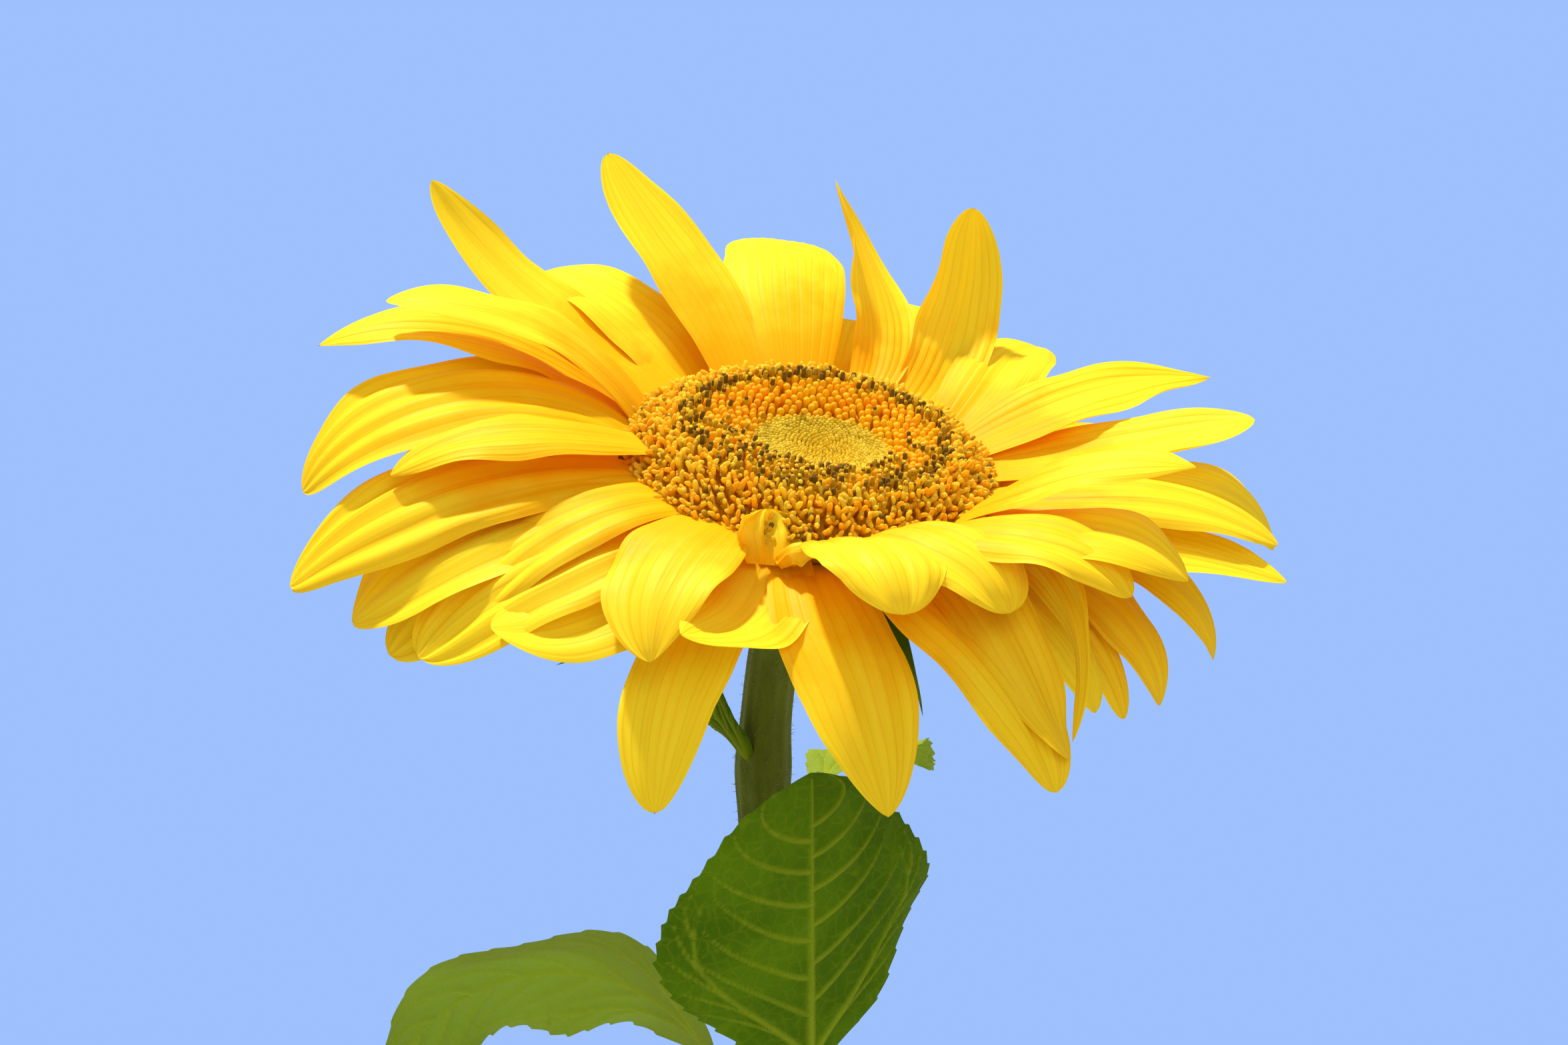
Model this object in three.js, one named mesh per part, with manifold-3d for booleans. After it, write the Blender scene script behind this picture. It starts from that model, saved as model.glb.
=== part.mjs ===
import * as THREE from 'three';
import Module from 'manifold-3d';

// A sunflower plant rooted in level ground, in millimetres, +Z up.
// The origin is the middle of the flat cut under the stem. The flower looks towards -Y.

const wasm = await Module();
wasm.setup();

// driving sizes

const gap = 0.3; // kept between neighbouring solids
const cutTolerance = 0.08; // how far a cut solid may move as its slivers go
const headPlace = [ 30, - 55, 1085 ]; // middle of the disc's underside rim plane
const headNod = 37; // degrees that the face tips towards -Y
const headLean = 9; // degrees that the face tips towards +X
const rimRadius = 50; // circle that the petals grow from
const petalThick = 1.2;
const petalRowDrop = 6; // each row of petals grows this much lower
const petalRoot = { inset: 2, drop: 2, share: 0.42 }; // share: width at the root, of the greatest
const curveReach = 0.38; // how far a petal's line keeps its first and last heading, of its length
const bladeEnd = 0.985; // blades stop here, in a narrow end just short of their tip
const leafThick = 1.4;
const stemTop = 7; // radius under the flower
const stemSwell = 5; // what the stem gains from top to ground
const flare = { more: 6, fade: 25 }; // root flare, dying out upwards
const stemSides = 11;
const stemSteps = 24;
const stalkSides = 7;
const stalkSteps = 5;
const latheSides = 26;
const stalkRadius = { stem: 4.2, blade: 2.2 };
const stalkBend = { steeper: 12, out: 0.35, back: 0.3 }; // how a stalk leaves the stem and meets its blade
const leafInset = 2; // a leaf starts this deep in the stem's skin
const leafParts = 24; // straight parts that a leaf's curved line is worked out from

// middle line of the stem, from just below its flat cut up into the flower's base
const stemLine = [
	[ 0, 0, - 5 ], [ 2, 3, 150 ], [ 10, 5, 400 ], [ 20, 4, 650 ], [ 24.5, 1, 850 ],
	[ 19.5, 0, 960 ], [ 17.5, - 4, 1000 ], [ 20, - 14, 1031 ], [ 25.5, - 33, 1056 ],
];

// profiles of the lathe-turned solids in the flower's own frame: radius, height
const discProfile = [
	[ 0, - 7 ], [ 49.5, - 7 ], [ 52.5, - 3 ], [ 50, 3 ], [ 45, 7.5 ], [ 40, 9.5 ],
	[ 34, 9.5 ], [ 28, 7.5 ], [ 22, 4 ], [ 16, 1.5 ], [ 8, 0.8 ], [ 0, 0 ],
];
const baseProfile = [
	[ 0, - 44 ], [ 8, - 44 ], [ 12, - 37 ], [ 22, - 30 ], [ 36, - 23 ],
	[ 46, - 16 ], [ 50, - 10 ], [ 49, - 7.3 ], [ 0, - 7.3 ],
];

// Petals, anticlockwise round the disc as seen from its face. at: degrees round the rim;
// tip: where the petal ends, in the flower's frame; lift and aim: how it sets out, fall and
// veer: how it ends, in degrees up and sideways; wide: greatest width; cup: how far its
// section curls; roll: turn about its own line at root, middle and tip.
const petals = [
	{ at: 6, tip: [ 134, 6, - 9 ], lift: 20, fall: - 65, wide: 34, cup: - 20, row: 1, point: 0.5 },
	{ at: 13, tip: [ 123, 22, 22 ], lift: 12, fall: 20, wide: 30, cup: 30, point: 0.6 },
	{ at: 28, tip: [ 112, 64, 14 ], lift: 25, fall: - 5, wide: 28, cup: 30, peak: 0.4, point: 1 },
	{ at: 44, tip: [ 61, 92, 3 ], lift: 30, fall: - 20, wide: 28, cup: 20, row: 1, point: 0.5 },
	{
		at: 59, tip: [ 36, 95, 43 ], lift: 5, fall: 70, veer: 20, wide: 25, cup: 50, roll: [ 0, 20, 20 ],
		point: 0.55
	},
	{ at: 71, tip: [ 29, 108, 2 ], lift: 35, fall: - 30, wide: 21, cup: 25, row: 1, point: 0.5 },
	{
		at: 76, tip: [ - 6, 98, 44 ], lift: 25, fall: 55, aim: - 15, veer: 30, wide: 21, cup: 40,
		roll: [ 0, 20, 50 ]
	},
	{
		at: 100, tip: [ - 21, 120, 10 ], lift: 40, fall: - 44, aim: 4, veer: - 8, wide: 37, cup: - 30,
		point: 0.52
	},
	{ at: 118, tip: [ - 74, 94, 43 ], lift: 35, fall: 36, wide: 28, cup: 25, point: 0.55 },
	{ at: 131, tip: [ - 86, 72, 12 ], lift: 30, fall: - 10, wide: 34, cup: 20, row: 1, point: 0.5 },
	{
		at: 147, tip: [ - 119, 46, 46 ], lift: 17, fall: 53, wide: 32, cup: 19, roll: [ 0, 0, - 12 ],
		point: 0.7
	},
	{ at: 160, tip: [ - 141, 5, 8 ], lift: 30, fall: - 35, wide: 28, cup: - 20, row: 1 },
	{ at: 167, tip: [ - 123, 5, 25 ], lift: 50, fall: - 15, wide: 25, cup: - 20, point: 0.6 },
	{
		at: 180, tip: [ - 137, - 26, - 22 ], lift: 35, fall: - 70, wide: 38, cup: - 20,
		roll: [ 0, - 6, - 8 ], point: 0.55
	},
	{ at: 199, tip: [ - 111, - 40, - 6 ], lift: 14, fall: - 45, aim: 12, wide: 25, cup: - 20, row: - 1 },
	{
		at: 205, tip: [ - 134, - 52, - 38 ], lift: 10, fall: - 58, aim: - 5, veer: - 15, wide: 40,
		cup: - 26, roll: [ 0, - 10, - 10 ], point: 0.5
	},
	{
		at: 212, tip: [ - 115, - 60, - 41 ], lift: 12, fall: - 60, aim: - 5, veer: - 20, wide: 43,
		cup: - 24, roll: [ 0, - 4, - 8 ], row: 1, peak: 0.58, point: 0.52
	},
	{
		at: 222, tip: [ - 103, - 67, - 46 ], lift: 15, fall: - 54, aim: - 7, veer: - 5, wide: 41,
		cup: - 22, roll: [ 0, 0, - 16 ], point: 0.55
	},
	{
		at: 232, tip: [ - 93, - 80, - 38 ], lift: 18, fall: - 50, wide: 42, cup: - 20,
		roll: [ 0, - 8, - 14 ], row: 1, point: 0.55
	},
	{
		at: 244, tip: [ - 74, - 88, - 21 ], lift: 14, fall: 7, aim: - 4, veer: - 16, wide: 40, cup: - 26,
		roll: [ 0, - 12, - 6 ], row: 1, peak: 0.42, point: 0.6
	},
	{
		at: 246, tip: [ - 30, - 100, - 17 ], lift: 14, fall: - 48, aim: 4, veer: 40, wide: 34, cup: - 26,
		roll: [ 0, 10, 28 ], peak: 0.42, point: 0.75
	},
	{
		at: 256, tip: [ - 23, - 117, - 52 ], lift: - 10, fall: - 58, veer: 32, wide: 27, cup: - 25,
		row: 1, peak: 0.38, point: 0.5
	},
	{ at: 264, tip: [ - 23, - 103, - 6 ], lift: - 33, fall: 16, aim: 17, veer: - 28, wide: 31, cup: 14 },
	{ at: 277, tip: [ 37, - 112, - 45 ], lift: 10, fall: - 60, wide: 35, cup: - 25, row: 1, point: 0.8 },
	{ at: 285, tip: [ 33, - 92, 4 ], lift: 40, fall: - 60, wide: 34, cup: - 30, point: 0.5 },
	{ at: 298, tip: [ 80, - 98, - 38 ], lift: 15, fall: - 65, wide: 32, cup: - 25, row: 1, point: 0.6 },
	{ at: 299, tip: [ 61, - 76, 1 ], lift: 60, fall: - 65, wide: 36, cup: - 40, point: 0.55 },
	{
		at: 309, tip: [ 82, - 92, - 31 ], lift: 32, fall: - 49, aim: 16, veer: 24, wide: 25, cup: - 23,
		roll: [ 0, 8, - 16 ], row: 1, peak: 0.46, point: 0.52
	},
	{ at: 311, tip: [ 92, - 66, 6 ], lift: 35, fall: - 50, wide: 32, cup: - 30, point: 0.55 },
	{
		at: 331, tip: [ 82, - 93, - 25 ], lift: 24, fall: - 57, aim: 26, veer: - 45, wide: 13, cup: - 20,
		roll: [ 0, 70, 63 ], row: 1, point: 0.8
	},
	{ at: 322, tip: [ 107, - 56, 8 ], lift: 22, fall: - 40, wide: 36, cup: - 20 },
	{ at: 334, tip: [ 105, - 36, 32 ], lift: 45, fall: 0, wide: 27, cup: - 30 },
	{ at: 336, tip: [ 98, - 44, - 43 ], lift: - 5, fall: - 75, wide: 22, cup: - 25, row: 1, point: 0.6 },
	{ at: 342, tip: [ 136, - 26, - 3 ], lift: 15, fall: - 15, wide: 30, cup: - 20, row: 1 },
	{ at: 346, tip: [ 108, - 31, - 44 ], lift: - 5, fall: - 80, wide: 27, cup: - 25, row: 1, point: 0.6 },
	{ at: 350, tip: [ 133, - 12, 1 ], lift: 20, fall: - 30, wide: 29, cup: - 20, point: 0.6 },
	{ at: 356, tip: [ 121, - 19, - 34 ], lift: - 5, fall: - 80, wide: 21, cup: - 25, row: 1, point: 0.6 },
];

// Leaves from the top down. up: height on the stem; at: degrees round it from +X towards
// the back; stalk and rise: length and steepness of the leaf stalk; turn: how far the blade
// swings from the stalk's heading; long and wide: the blade; lift and fall: its pitch at root
// and tip; peak and root: where it is widest, and its width at the root as a share of that.
const leaves = [
	{
		name: 'bract', up: 1003, at: 235, stalk: 0, long: 60, wide: 13, lift: 38, fall: 25, cup: 40,
		peak: 0.65, root: 0.28
	},
	{
		name: 'back', up: 968, at: 62, stalk: 45, rise: 52, long: 80, wide: 28, lift: 32, fall: - 18,
		cup: 25, point: 1.1
	},
	{
		name: 'left', up: 899, at: 215, stalk: 30, rise: 48, turn: - 30, long: 120, wide: 64, lift: 54,
		fall: - 78, cup: - 20, roll: 22, peak: 0.42, root: 0.16
	},
	{
		name: 'front', up: 880, at: 280, stalk: 50, rise: 45, turn: - 10, long: 93, wide: 90, lift: 50,
		fall: 60, cup: 50, roll: 32, peak: 0.48, root: 0.08, corner: 0.25, point: 0.7
	},
	{
		name: 'low_1', up: 760, at: 20, stalk: 85, rise: 48, long: 165, wide: 125, lift: 12, fall: - 60,
		cup: - 18
	},
	{
		name: 'low_2', up: 662, at: 157, stalk: 92, rise: 46, long: 178, wide: 138, lift: 8, fall: - 62,
		cup: - 16
	},
	{
		name: 'low_3', up: 560, at: 295, stalk: 98, rise: 44, long: 186, wide: 148, lift: 5, fall: - 64,
		cup: - 16
	},
	{
		name: 'low_4', up: 452, at: 72, stalk: 102, rise: 42, long: 190, wide: 152, lift: 2, fall: - 66,
		cup: - 16
	},
	{
		name: 'low_5', up: 340, at: 210, stalk: 100, rise: 40, long: 184, wide: 146, lift: - 2,
		fall: - 64, cup: - 16
	},
	{
		name: 'low_6', up: 232, at: 347, stalk: 86, rise: 38, long: 160, wide: 124, lift: - 4,
		fall: - 58, cup: - 16
	},
];

const stemGreen = new THREE.MeshStandardMaterial( { color: 0x4f7a22, roughness: 0.75, metalness: 0 } );
const leafGreen = new THREE.MeshStandardMaterial( { color: 0x3f7a1e, roughness: 0.6, metalness: 0 } );
const petalYellow = new THREE.MeshStandardMaterial( { color: 0xffd21a, roughness: 0.55, metalness: 0 } );
const discBrown = new THREE.MeshStandardMaterial( { color: 0xb06a12, roughness: 0.9, metalness: 0 } );

const radians = THREE.MathUtils.degToRad;
const up = new THREE.Vector3( 0, 0, 1 );

function direction( heading, pitch ) {

	const h = radians( heading );
	const p = radians( pitch );
	return new THREE.Vector3( Math.cos( p ) * Math.cos( h ), Math.cos( p ) * Math.sin( h ), Math.sin( p ) );

}

// value through three knots at 0, 0.5 and 1
function through( [ a, b, c ], s ) {

	return a * ( 1 - s ) * ( 1 - 2 * s ) + b * 4 * s * ( 1 - s ) + c * s * ( 2 * s - 1 );

}

// indexed geometry from rings of points: each ring is a closed loop, the ends are capped
function ringsGeometry( rings ) {

	const count = rings[ 0 ].length;
	const positions = rings.flat().flatMap( ( p ) => p.toArray() );
	const index = [];
	for ( let i = 0; i + 1 < rings.length; i ++ ) {

		for ( let j = 0; j < count; j ++ ) {

			const a = i * count + j;
			const b = i * count + ( j + 1 ) % count;
			index.push( a, b, b + count, a, b + count, a + count );

		}

	}

	const last = ( rings.length - 1 ) * count;
	for ( let j = 1; j + 1 < count; j ++ ) {

		index.push( 0, j + 1, j );
		index.push( last, last + j, last + j + 1 );

	}

	const geometry = new THREE.BufferGeometry();
	geometry.setAttribute( 'position', new THREE.Float32BufferAttribute( positions, 3 ) );
	geometry.setIndex( index );
	return geometry;

}

// a limb of round section along a curve
function limbGeometry( curve, radiusAt, steps, sides, grow = 0 ) {

	const frames = curve.computeFrenetFrames( steps );
	const rings = [];
	for ( let i = 0; i <= steps; i ++ ) {

		const s = i / steps;
		const centre = curve.getPointAt( s );
		const r = radiusAt( s, centre ) + grow;
		const ring = [];
		for ( let j = 0; j < sides; j ++ ) {

			const a = 2 * Math.PI * j / sides;
			ring.push( centre.clone()
				.addScaledVector( frames.normals[ i ], r * Math.cos( a ) )
				.addScaledVector( frames.binormals[ i ], r * Math.sin( a ) ) );

		}

		rings.push( ring );

	}

	return ringsGeometry( rings );

}

// A thin blade with a lens-shaped section. spine( s ) gives its middle line and heading, and
// half( s ) its half width.
function bladeGeometry( { spine, half, cup, roll = [ 0, 0, 0 ], thick, steps, across, grow = 0 } ) {

	const rings = [];
	const bend = radians( cup ) / ( 2 * half( 0.5 ) );
	for ( let i = 0; i <= steps; i ++ ) {

		const s = bladeEnd * i / steps;
		const { centre, along } = spine( s );
		const level = new THREE.Vector3().crossVectors( up, along ).normalize();
		const steep = new THREE.Vector3().crossVectors( along, level );
		const turn = radians( through( roll, s ) );
		const side = level.multiplyScalar( Math.cos( turn ) ).addScaledVector( steep, Math.sin( turn ) );
		const face = new THREE.Vector3().crossVectors( along, side );
		const point = ( v, away ) => {

			const w = v * ( half( s ) + grow );
			const rise = ( 1 - Math.cos( bend * w ) ) / bend;
			return centre.clone()
				.addScaledVector( side, Math.sin( bend * w ) / bend )
				.addScaledVector( face, rise + away * ( 0.5 * thick * ( 1 - v * v ) + grow ) );

		};

		// a grown blade keeps its thickness at the edges, where the blade itself comes to nothing
		const shared = grow > 0 ? 0 : 1;
		const ring = [];
		for ( let j = 0; j <= across - shared; j ++ ) ring.push( point( 2 * j / across - 1, - 1 ) );
		for ( let j = across; j >= shared; j -- ) ring.push( point( 2 * j / across - 1, 1 ) );
		rings.push( ring );

	}

	return ringsGeometry( rings );

}

// outline of a petal or leaf: half width at s, from root to tip; corner straightens its sides
function outline( wide, root, peak, point, corner = 0 ) {

	return ( s ) => {

		if ( s < peak ) {

			const rise = s / peak;
			const round = Math.sin( Math.PI / 2 * rise );
			return 0.5 * wide * ( root + ( 1 - root ) * ( ( 1 - corner ) * round + corner * rise ) );

		}

		const rest = ( s - peak ) / ( 1 - peak );
		return 0.5 * wide * ( ( 1 - corner ) * ( 1 - rest ** 2.3 ) ** point + corner * ( 1 - rest ) );

	};

}

function petalGeometry( petal, grow = 0 ) {

	const { at, tip, lift, fall, wide, cup, roll } = petal;
	const { aim = 0, veer = 0, row = 0, peak = 0.5, point = 0.75 } = petal;
	const around = direction( at, 0 ).multiplyScalar( rimRadius - petalRoot.inset );
	const root = around.setZ( - petalRoot.drop - petalRowDrop * row );
	const end = new THREE.Vector3( ...tip );
	const chord = new THREE.Vector3().subVectors( end, root );
	const reach = curveReach * chord.length();
	const heading = THREE.MathUtils.radToDeg( Math.atan2( chord.y, chord.x ) );
	const curve = new THREE.CubicBezierCurve3(
		root,
		root.clone().addScaledVector( direction( at + aim, lift ), reach ),
		end.clone().addScaledVector( direction( heading + veer, fall ), - reach ),
		end
	);
	return bladeGeometry( {
		spine: ( s ) => ( { centre: curve.getPoint( s ), along: curve.getTangent( s ) } ),
		half: outline( wide, petalRoot.share, peak, point ),
		cup, roll, thick: petalThick, steps: 7, across: 4, grow
	} );

}

// solids for cutting

function solidOf( geometry ) {

	const triVerts = Uint32Array.from( geometry.index.array );
	const vertProperties = Float32Array.from( geometry.attributes.position.array );
	const mesh = new wasm.Mesh( { numProp: 3, vertProperties, triVerts } );
	mesh.merge();
	return new wasm.Manifold( mesh );

}

function geometryOf( solid ) {

	const mesh = solid.getMesh();
	const geometry = new THREE.BufferGeometry();
	geometry.setAttribute( 'position', new THREE.BufferAttribute( mesh.vertProperties, 3 ) );
	geometry.setIndex( new THREE.BufferAttribute( mesh.triVerts, 1 ) );
	return geometry;

}

function boxesMeet( a, b ) {

	const p = a.boundingBox();
	const q = b.boundingBox();
	return [ 0, 1, 2 ].every( ( k ) => p.min[ k ] < q.max[ k ] && q.min[ k ] < p.max[ k ] );

}

function largestBody( solid ) {

	return solid.decompose().sort( ( a, b ) => b.volume() - a.volume() )[ 0 ];

}

// what is left of a solid beside its neighbours, as one body
function beside( solid, neighbours ) {

	let rest = solid;
	for ( const other of neighbours ) {

		if ( boxesMeet( rest, other ) ) rest = rest.subtract( other );

	}

	return largestBody( largestBody( rest ).simplify( cutTolerance ) );

}

// a solid turned about the flower's axis; grow pushes its profile outwards
function turnedSolid( profile, grow = 0 ) {

	const middle = profile.reduce( ( sum, [ , h ] ) => sum + h, 0 ) / profile.length;
	const outward = ( [ r, h ] ) => {

		return new THREE.Vector2( r > 0 ? r + grow : 0, h + Math.sign( h - middle ) * grow );

	};

	const geometry = new THREE.LatheGeometry( profile.map( outward ), latheSides );
	return solidOf( geometry.rotateX( Math.PI / 2 ) );

}

function addNode( parent, name, solid, material ) {

	const mesh = new THREE.Mesh( geometryOf( solid ), material );
	mesh.name = name;
	parent.add( mesh );

}

const plant = new THREE.Group();
const head = new THREE.Group();
head.position.set( ...headPlace );
head.rotation.set( radians( headNod ), radians( headLean ), 0, 'YXZ' );
head.updateMatrix();
plant.add( head );

// flower

const disc = turnedSolid( discProfile );
const base = turnedSolid( baseProfile );
const grownDisc = turnedSolid( discProfile, gap );
const grownBase = turnedSolid( baseProfile, gap );
addNode( head, 'flower_disc', disc, discBrown );
addNode( head, 'flower_base', base, stemGreen );

// a petal of a lower row gives way to those above it
const rowOf = ( i ) => petals[ i ].row ?? 0;
const order = [ ...petals.keys() ].sort( ( a, b ) => rowOf( a ) - rowOf( b ) || a - b );
const grownPetals = [];
for ( const i of order ) {

	const whole = solidOf( petalGeometry( petals[ i ] ) );
	const solid = beside( whole, [ grownDisc, grownBase, ...grownPetals ] );
	addNode( head, `petal_${ String( i + 1 ).padStart( 2, '0' ) }`, solid, petalYellow );
	grownPetals.push( solidOf( petalGeometry( petals[ i ], gap ) ) );

}

// stem

const stemCurve = new THREE.CatmullRomCurve3( stemLine.map( ( p ) => new THREE.Vector3( ...p ) ) );
const stemHeight = stemLine.at( - 1 )[ 2 ];

function stemRadius( height ) {

	const swell = stemSwell * ( 1 - height / stemHeight );
	return stemTop + swell + flare.more * Math.exp( - height / flare.fade );

}

function stemSolid( grow ) {

	const radiusAt = ( s, place ) => stemRadius( place.z );
	return solidOf( limbGeometry( stemCurve, radiusAt, stemSteps, stemSides, grow ) );

}

const rooted = stemSolid( 0 ).trimByPlane( [ 0, 0, 1 ], 0 ); // the flat cut at ground level
const stem = beside( rooted, [ grownBase.transform( head.matrix.toArray() ) ] );
const grownStem = stemSolid( gap );
addNode( plant, 'stem', stem, stemGreen );

// where the stem's middle line passes a height
function stemAt( height ) {

	let low = 0;
	let high = 1;
	for ( let i = 0; i < 30; i ++ ) {

		const middle = ( low + high ) / 2;
		if ( stemCurve.getPointAt( middle ).z < height ) low = middle;
		else high = middle;

	}

	return stemCurve.getPointAt( low );

}

// leaves

function leafSpine( start, { at, turn = 0, long, lift, fall } ) {

	const points = [ start ];
	for ( let i = 0; i < leafParts; i ++ ) {

		const s = ( i + 0.5 ) / leafParts;
		const step = direction( at + turn, lift + ( fall - lift ) * s ).multiplyScalar( long / leafParts );
		points.push( points[ i ].clone().add( step ) );

	}

	const curve = new THREE.CatmullRomCurve3( points );
	return ( s ) => ( { centre: curve.getPoint( s ), along: curve.getTangent( s ) } );

}

function leafGeometry( leaf, start, grow = 0 ) {

	const { wide, cup, root = 0.3, peak = 0.34, point = 0.85, corner = 0, roll = 0 } = leaf;
	return bladeGeometry( {
		spine: leafSpine( start, leaf ),
		half: outline( wide, root, peak, point, corner ),
		cup, roll: [ roll, roll, roll ], thick: leafThick, steps: 9, across: 4, grow
	} );

}

function stalkCurve( start, { at, rise, stalk, lift } ) {

	const end = start.clone().addScaledVector( direction( at, rise ), stalk );
	return new THREE.CubicBezierCurve3(
		start,
		start.clone().addScaledVector( direction( at, rise + stalkBend.steeper ), stalkBend.out * stalk ),
		end.clone().addScaledVector( direction( at, lift ), - stalkBend.back * stalk ),
		end
	);

}

const stalkRadiusAt = ( s ) => THREE.MathUtils.lerp( stalkRadius.stem, stalkRadius.blade, Math.sqrt( s ) );

for ( const leaf of leaves ) {

	const root = stemAt( leaf.up );
	let start = root.addScaledVector( direction( leaf.at, 0 ), stemRadius( leaf.up ) - leafInset );
	const neighbours = [ grownStem ];
	if ( leaf.stalk > 0 ) {

		const curve = stalkCurve( start, leaf );
		const stalk = solidOf( limbGeometry( curve, stalkRadiusAt, stalkSteps, stalkSides ) );
		const grownStalk = solidOf( limbGeometry( curve, stalkRadiusAt, stalkSteps, stalkSides, gap ) );
		addNode( plant, `stalk_${ leaf.name }`, beside( stalk, [ grownStem ] ), stemGreen );
		neighbours.push( grownStalk );
		start = curve.v3;

	}

	const blade = solidOf( leafGeometry( leaf, start ) );
	addNode( plant, `leaf_${ leaf.name }`, beside( blade, neighbours ), leafGreen );

}

export default plant;
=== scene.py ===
import bpy
import math
import numpy as np
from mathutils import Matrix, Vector


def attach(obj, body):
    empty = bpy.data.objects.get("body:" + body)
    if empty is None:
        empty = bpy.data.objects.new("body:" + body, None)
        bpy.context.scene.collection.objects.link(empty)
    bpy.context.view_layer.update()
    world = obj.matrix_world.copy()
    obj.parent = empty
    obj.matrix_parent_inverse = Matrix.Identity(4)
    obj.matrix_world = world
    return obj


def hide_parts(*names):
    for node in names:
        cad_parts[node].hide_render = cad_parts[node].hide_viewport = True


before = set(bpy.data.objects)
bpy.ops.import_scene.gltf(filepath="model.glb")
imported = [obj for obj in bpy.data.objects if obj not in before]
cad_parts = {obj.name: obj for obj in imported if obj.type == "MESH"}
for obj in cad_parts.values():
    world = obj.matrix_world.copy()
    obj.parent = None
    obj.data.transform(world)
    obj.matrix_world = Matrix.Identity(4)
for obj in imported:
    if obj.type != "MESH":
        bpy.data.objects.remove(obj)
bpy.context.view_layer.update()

# The plant is worked out in millimetres, in the frame's own axes, and scaled as it becomes meshes.
mm = 0.001
rimAngle = 60  # degrees past which the rim of a thin blade is shaded sharp
draw = np.random.default_rng(41)
upward = np.array([0.0, 0.0, 1.0])
goldenAngle = math.pi * (3 - math.sqrt(5))

print("frame loaded:", len(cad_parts), "nodes")


# small sums

def unit(a):
    return a / np.maximum(np.linalg.norm(a, axis=-1, keepdims=True), 1e-9)


def direction(heading, pitch):
    h, p = math.radians(heading), math.radians(pitch)
    return np.array([math.cos(p) * math.cos(h), math.cos(p) * math.sin(h), math.sin(p)])


def through(knots, s):  # value through three knots at 0, 0.5 and 1
    a, b, c = knots
    return a * (1 - s) * (1 - 2 * s) + b * 4 * s * (1 - s) + c * s * (2 * s - 1)


def smoothStep(low, high, x):
    t = np.clip((x - low) / (high - low), 0, 1)
    return t * t * (3 - 2 * t)


def turnAbout(axis, angle):
    x, y, z = axis
    c, s = math.cos(angle), math.sin(angle)
    cross = np.array([[0, -z, y], [z, 0, -x], [-y, x, 0]])
    return np.eye(3) * c + s * cross + (1 - c) * np.outer(axis, axis)


def outline(wide, root, peak, point, s, corner=0.0):  # half width of a petal or leaf at s
    rise = np.clip(s / peak, 0, 1)
    rest = np.clip((s - peak) / (1 - peak), 0, 1)
    swell = root + (1 - root) * ((1 - corner) * np.sin(math.pi / 2 * rise) + corner * rise)
    taper = (1 - corner) * (1 - rest ** 2.3) ** point + corner * (1 - rest)
    return 0.5 * wide * np.where(s < peak, swell, taper)


def evenly(path, count):
    reach = np.concatenate([[0], np.cumsum(np.linalg.norm(np.diff(path, axis=0), axis=1))])
    wanted = np.linspace(0, reach[-1], count)
    return np.stack([np.interp(wanted, reach, path[:, k]) for k in range(3)], axis=1)


def smoothCurve(points, count):  # even steps along a centripetal spline
    points = np.array(points, float)
    ends = [2 * points[0] - points[1], *points, 2 * points[-1] - points[-2]]
    path = []
    for p0, p1, p2, p3 in zip(ends, ends[1:], ends[2:], ends[3:]):
        d0, d1, d2 = (np.linalg.norm(b - a) ** 0.5 for a, b in ((p0, p1), (p1, p2), (p2, p3)))
        m1 = d1 * ((p1 - p0) / d0 - (p2 - p0) / (d0 + d1) + (p2 - p1) / d1)
        m2 = d1 * ((p2 - p1) / d1 - (p3 - p1) / (d1 + d2) + (p3 - p2) / d2)
        for t in np.linspace(0, 1, 40, endpoint=False):
            path.append(p1 + t * (m1 + t * (3 * (p2 - p1) - 2 * m1 - m2 + t * (2 * (p1 - p2) + m1 + m2))))
    return evenly(np.array(path + [points[-1]]), count)


def bezier(a, b, c, d, s):
    s = np.asarray(s)[:, None]
    place = a * (1 - s) ** 3 + 3 * b * s * (1 - s) ** 2 + 3 * c * s * s * (1 - s) + d * s ** 3
    along = 3 * (b - a) * (1 - s) ** 2 + 6 * (c - b) * s * (1 - s) + 3 * (d - c) * s * s
    return place, unit(along)


# meshes

def addPiece(name, points, faces, materials, stands=(), picks=None, coords=None, nerve=None,
             sharp=None):
    mesh = bpy.data.meshes.new(name)
    mesh.from_pydata((np.asarray(points) * mm).tolist(), [], [list(map(int, f)) for f in faces])
    for material in materials:
        mesh.materials.append(material)
    mesh.polygons.foreach_set("use_smooth", [True] * len(mesh.polygons))
    if picks is not None:
        mesh.polygons.foreach_set("material_index", np.asarray(picks, np.int32))
    if coords is not None:
        corner = np.empty(len(mesh.loops), np.int32)
        mesh.loops.foreach_get("vertex_index", corner)
        mesh.uv_layers.new(name="bladeMap").data.foreach_set("uv", coords[corner].ravel())
    if nerve is not None:
        tones = np.stack([nerve, nerve, nerve, np.ones(len(nerve))], axis=1)
        mesh.attributes.new("nerve", "FLOAT_COLOR", "POINT").data.foreach_set("color", tones.ravel())
    mesh.update()
    if sharp is not None:  # keeps the shading of a thin edge off its two skins
        mesh.set_sharp_from_angle(angle=math.radians(sharp))
    piece = bpy.data.objects.new(name, mesh)
    bpy.context.collection.objects.link(piece)
    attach(piece, "root")
    if stands:
        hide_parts(*stands)
    return piece


def gridFaces(rows, columns, closed=False):
    i, j = np.meshgrid(np.arange(rows - 1), np.arange(columns - (not closed)), indexing="ij")
    a = i * columns + j
    b = i * columns + (j + 1) % columns
    return np.stack([a, b, b + columns, a + columns], axis=-1).reshape(-1, 4)


def surfaceNormals(grid):
    return unit(np.cross(np.gradient(grid, axis=0), np.gradient(grid, axis=1)))


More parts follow.
